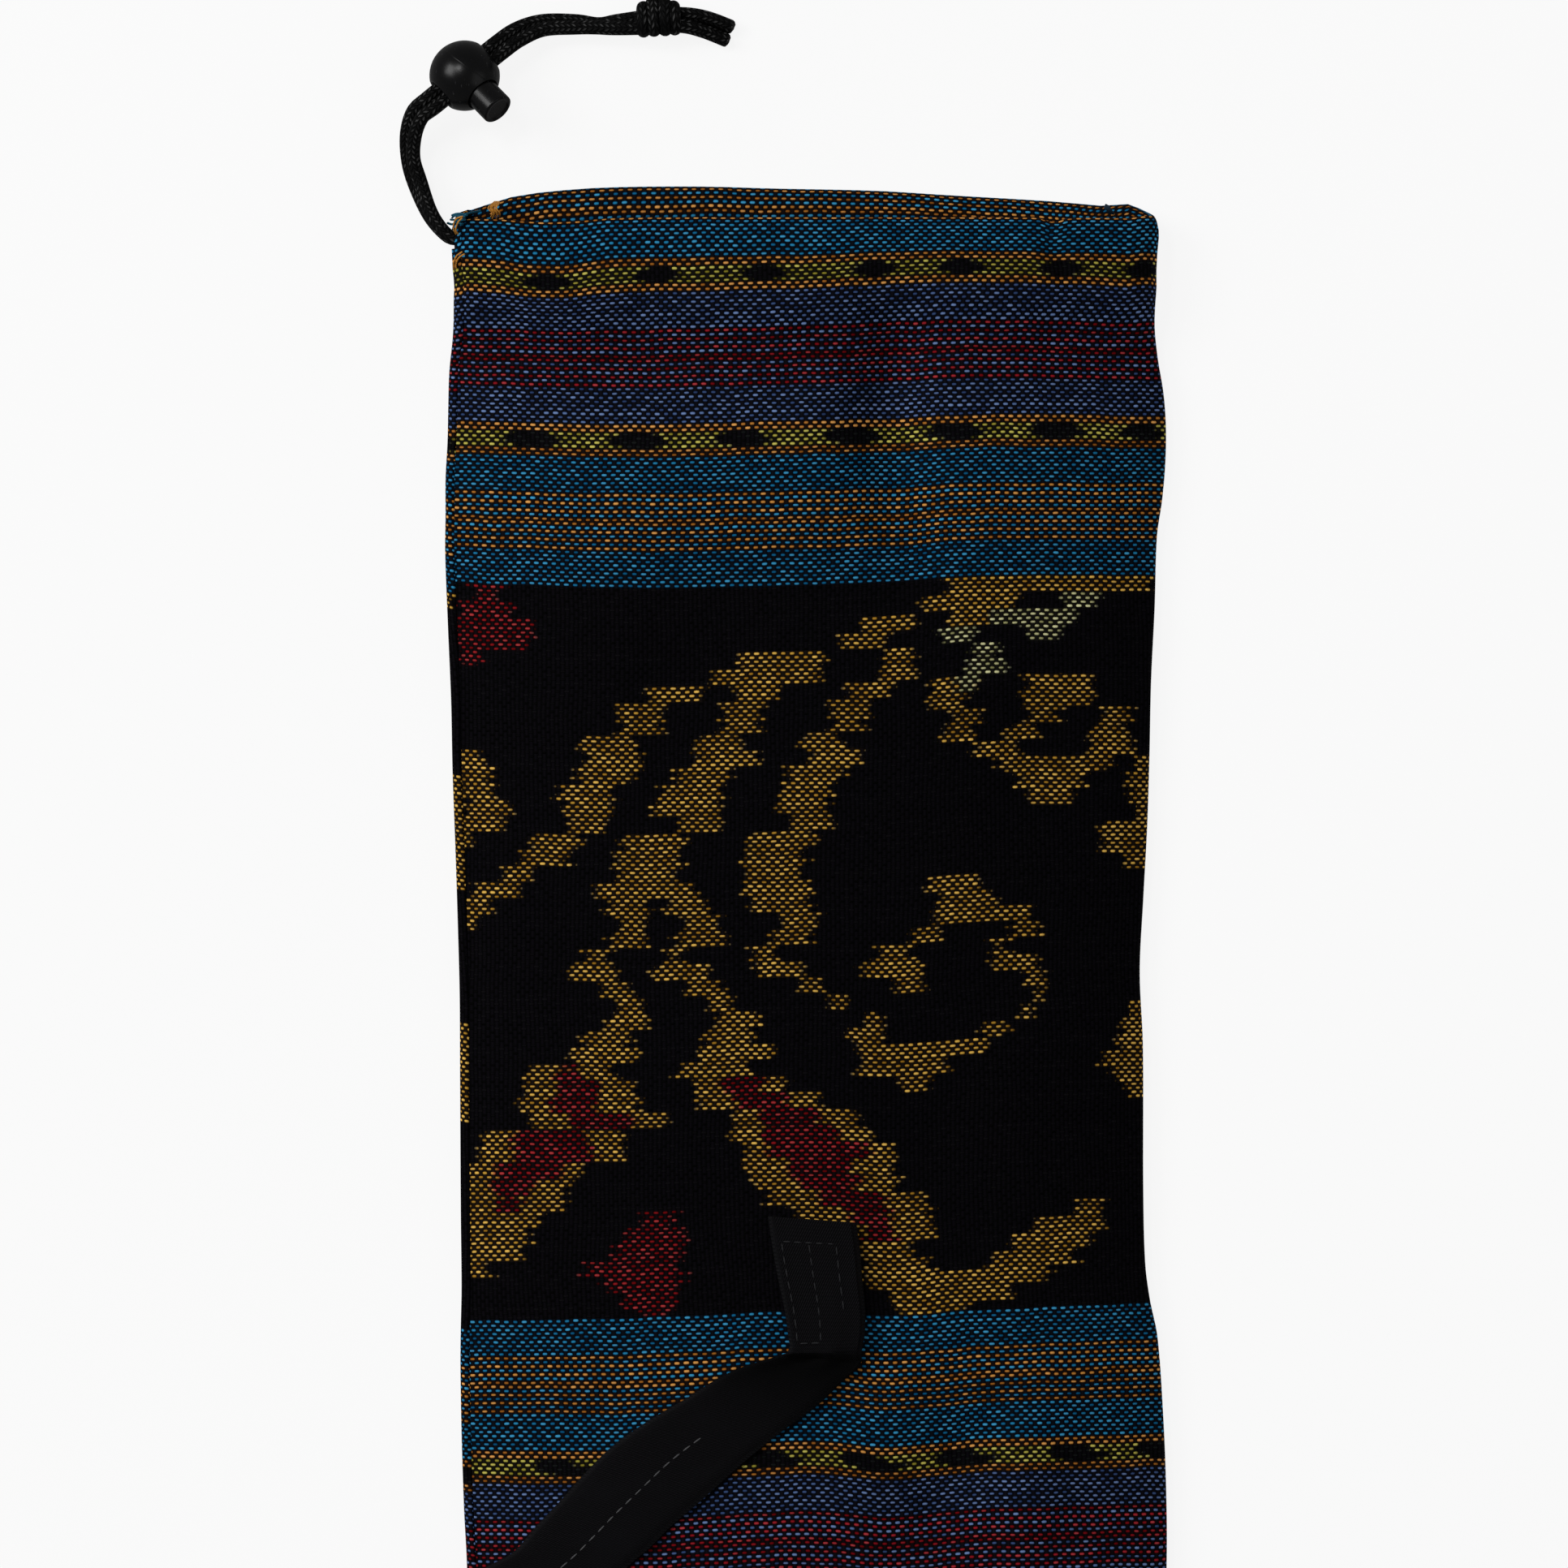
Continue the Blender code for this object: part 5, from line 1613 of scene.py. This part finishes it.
# %% Where the threads lie
# Pixel column and row of the photograph, and height in mm
ORANGE_AT_SEAM = [
    [(571, 268, 16), (562, 271, 15), (559, 281, 13), (563, 290, 10), (567, 292, 8)],
    [(570, 270, 16), (565, 275, 15.5), (562, 284, 14), (565, 289, 12)],
    [(570, 311, 14), (562, 317, 13), (559, 327, 10), (562, 337, 8), (568, 341, 7)],
    [(573, 314, 15), (566, 318, 14), (562, 326, 12), (563, 333, 10), (565, 344, 9)],
]
TEAL_AT_SEAM = [
    [(574, 268, 15), (567, 267, 14), (561, 266, 12), (557, 268, 9)],
    [(576, 266, 15), (569, 264, 13), (562, 264, 12), (557, 265, 9)],
    [(574, 271, 13), (566, 272, 12), (560, 271, 10), (555, 270, 7)],
    [(570, 277, 12), (563, 274, 10), (557, 276, 8), (551, 274, 6)],
    [(569, 281, 11), (563, 280, 8), (558, 276, 6)],
    [(592, 259, 8), (584, 261, 9), (577, 263, 11), (570, 266, 12)],
]
BUNDLE = [(612, 248, 8), (610, 252, 11), (607, 257, 12.5), (612, 263, 12), (610, 267, 9.5)]
TUFT = [(1372, 264, 12), (1368, 259, 14), (1365, 255, 14), (1362, 253, 13)]
BUNDLE_RADIUS, ORANGE_RADIUS, TEAL_RADIUS, TUFT_RADIUS = 0.18 * MM, 0.2 * MM, 0.3 * MM, 0.26 * MM


def bundle_yarn(n):
    """One of seven yarns side by side that hang down from the rim, each a little askew."""
    side = (n - 3) * 1.8
    shift = [(side * 0.5, 0), (side * 0.8, 0), (side + math.sin(n * 1.7), 0)]
    shift += [(side * 0.9 + math.sin(n * 2.9), 0), (side, 3 * math.sin(n * 2.1))]
    return [(a + right, b + down, height) for (a, b, height), (right, down) in zip(BUNDLE, shift)]


def tuft_yarn(n):
    """One of five yarns that stand up near the right corner and spread at their tips."""
    shift = [(-n, 0), (-n * 1.2, 0), (-n * 0.9, n * 0.6), (-n * 0.3, n * 1.1)]
    return [(a + right, b + down, height) for (a, b, height), (right, down) in zip(TUFT, shift)]


print(len(ORANGE_AT_SEAM) + len(TEAL_AT_SEAM), "yarns at the seam")


# %% Threads round the hem
def add_thread(shape, points, radius):
    """One loose yarn through (column, row, height) places."""
    places = [Vector((*at_pixel(column, row), height * MM)) for column, row, height in points]
    smooth = [Vector(smooth_through(places, n / 10)) for n in range(11)]
    yarn = tube_along(smooth, radius, 6)
    piece = bpy.data.meshes.new("yarn")
    yarn.to_mesh(piece)
    yarn.free()
    shape.from_mesh(piece)
    bpy.data.meshes.remove(piece)


orange_shape, teal_shape, dark_shape = bmesh.new(), bmesh.new(), bmesh.new()
for shape, yarn_list, radius in (
    (orange_shape, [bundle_yarn(n) for n in range(7)], BUNDLE_RADIUS),
    (orange_shape, ORANGE_AT_SEAM, ORANGE_RADIUS),
    (teal_shape, TEAL_AT_SEAM, TEAL_RADIUS),
    (dark_shape, [tuft_yarn(n) for n in range(5)], TUFT_RADIUS),
):
    for points in yarn_list:
        add_thread(shape, points, radius)
for name, shape, dark, light in (
    ("orange_threads", orange_shape, colour(150, 92, 24), colour(246, 176, 74)),
    ("teal_threads", teal_shape, colour(4, 44, 64), colour(30, 112, 138)),
    ("dark_tuft", dark_shape, colour(8, 20, 32), colour(34, 60, 78)),
):
    threads = finished(shape, name)
    threads.data.materials.append(thread_finish(name, dark, light))

# %% [markdown]
# ## Floor, light and background
#
# The photograph was taken on white with very soft light from above and a little from the upper
# left. The floor is a large sheet that glows, so it is even and white without lighting up the
# cloth's dark yarns too much. One big lamp sits upper left, a small one nearer the middle puts
# the glint on the ball, a weak one fills from the right, and the sky is an even, dim white.

# %% Floor
FLOOR_HALF = 6.0
FLOOR_LEVEL = -0.3 * MM  # a little below the bag, so that the two don't share a surface
FLOOR_GREY, FLOOR_GLOW = 0.12, 0.885
floor_shape = bmesh.new()
bmesh.ops.create_grid(floor_shape, x_segments=1, y_segments=1, size=FLOOR_HALF)
bmesh.ops.translate(floor_shape, vec=(0, 0, FLOOR_LEVEL), verts=floor_shape.verts)
floor_mesh = bpy.data.meshes.new("floor")
floor_shape.to_mesh(floor_mesh)
floor_shape.free()
floor = bpy.data.objects.new("floor", floor_mesh)
bpy.context.scene.collection.objects.link(floor)
floor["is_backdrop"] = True
floor.visible_glossy = False  # a matt sheet isn't mirrored in the plastic
paper = Finish("pale_floor", roughness=0.9, specular=0.1)
paper.set(paper.shader, "Base Color", (FLOOR_GREY, FLOOR_GREY, FLOOR_GREY, 1.0))
paper.set(paper.shader, "Emission Color", (1.0, 1.0, 1.0, 1.0))
paper.set(paper.shader, "Emission Strength", FLOOR_GLOW)
floor_mesh.materials.append(paper.material)
print("floor", 2 * FLOOR_HALF, "m wide")

# %% Lamps and sky
LOOK_AT = Vector((0, 0.55, 0))
SKY_STRENGTH = 0.16


def soft_lamp(name, place, size, power):
    """A square soft lamp that faces the mouth end of the bag."""
    data = bpy.data.lights.new(name, "AREA")
    data.shape = "SQUARE"
    data.size = size
    data.energy = power
    lamp = bpy.data.objects.new(name, data)
    lamp.location = place
    lamp.rotation_mode = "QUATERNION"
    lamp.rotation_quaternion = (LOOK_AT - Vector(place)).to_track_quat("-Z", "Y")
    bpy.context.scene.collection.objects.link(lamp)


soft_lamp("key_lamp", (-2.2, 1.5, 1.9), 1.4, 34.0)
soft_lamp("top_lamp", (-0.72, 1.45, 1.75), 0.42, 7.0)
soft_lamp("fill_lamp", (1.6, 0.2, 1.6), 1.6, 3.0)
world = bpy.data.worlds.new("sky")
world.use_nodes = True
world.node_tree.nodes["Background"].inputs[0].default_value = (1, 1, 1, 1)
world.node_tree.nodes["Background"].inputs[1].default_value = SKY_STRENGTH
bpy.context.scene.world = world
bpy.context.scene.view_settings.view_transform = "Standard"

# %% [markdown]
# ## The cord inside the hem
#
# The drawcord goes once round the mouth inside the hem, where no camera sees it. Its plain solid
# would do there, so it stays, and gets a simple dark cord finish in case the hem is opened up. A
# braid as on the free ends would need a map that a plain solid doesn't have.

# %% The hidden cord in the hem
hidden_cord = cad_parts["drawcord_in_hem"]
hidden = Finish("hidden_cord", roughness=0.7, specular=0.3)
strands = hidden.cloud(hidden.object_place(), 1500.0, 3.0)
hidden.set(hidden.shader, "Base Color", hidden.blend(strands, colour(8, 8, 8), colour(40, 40, 40)))
hidden.relief(strands, 0.3 * MM, 0.6)
hidden_cord.data.materials.clear()
hidden_cord.data.materials.append(hidden.material)
print("the hidden cord keeps its", len(hidden_cord.data.polygons), "faces")

# %% [markdown]
# ## Sizes and finish
#
# The boxes of the solids and of the dressed bag are printed in mm.

boxes = {"cad": [list(corner) for corner in cad_box], "visual": [list(corner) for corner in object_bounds()]}
for word, (low, high) in boxes.items():
    print(word, "box in mm:", [round((b - a) / MM, 1) for a, b in zip(low, high)])
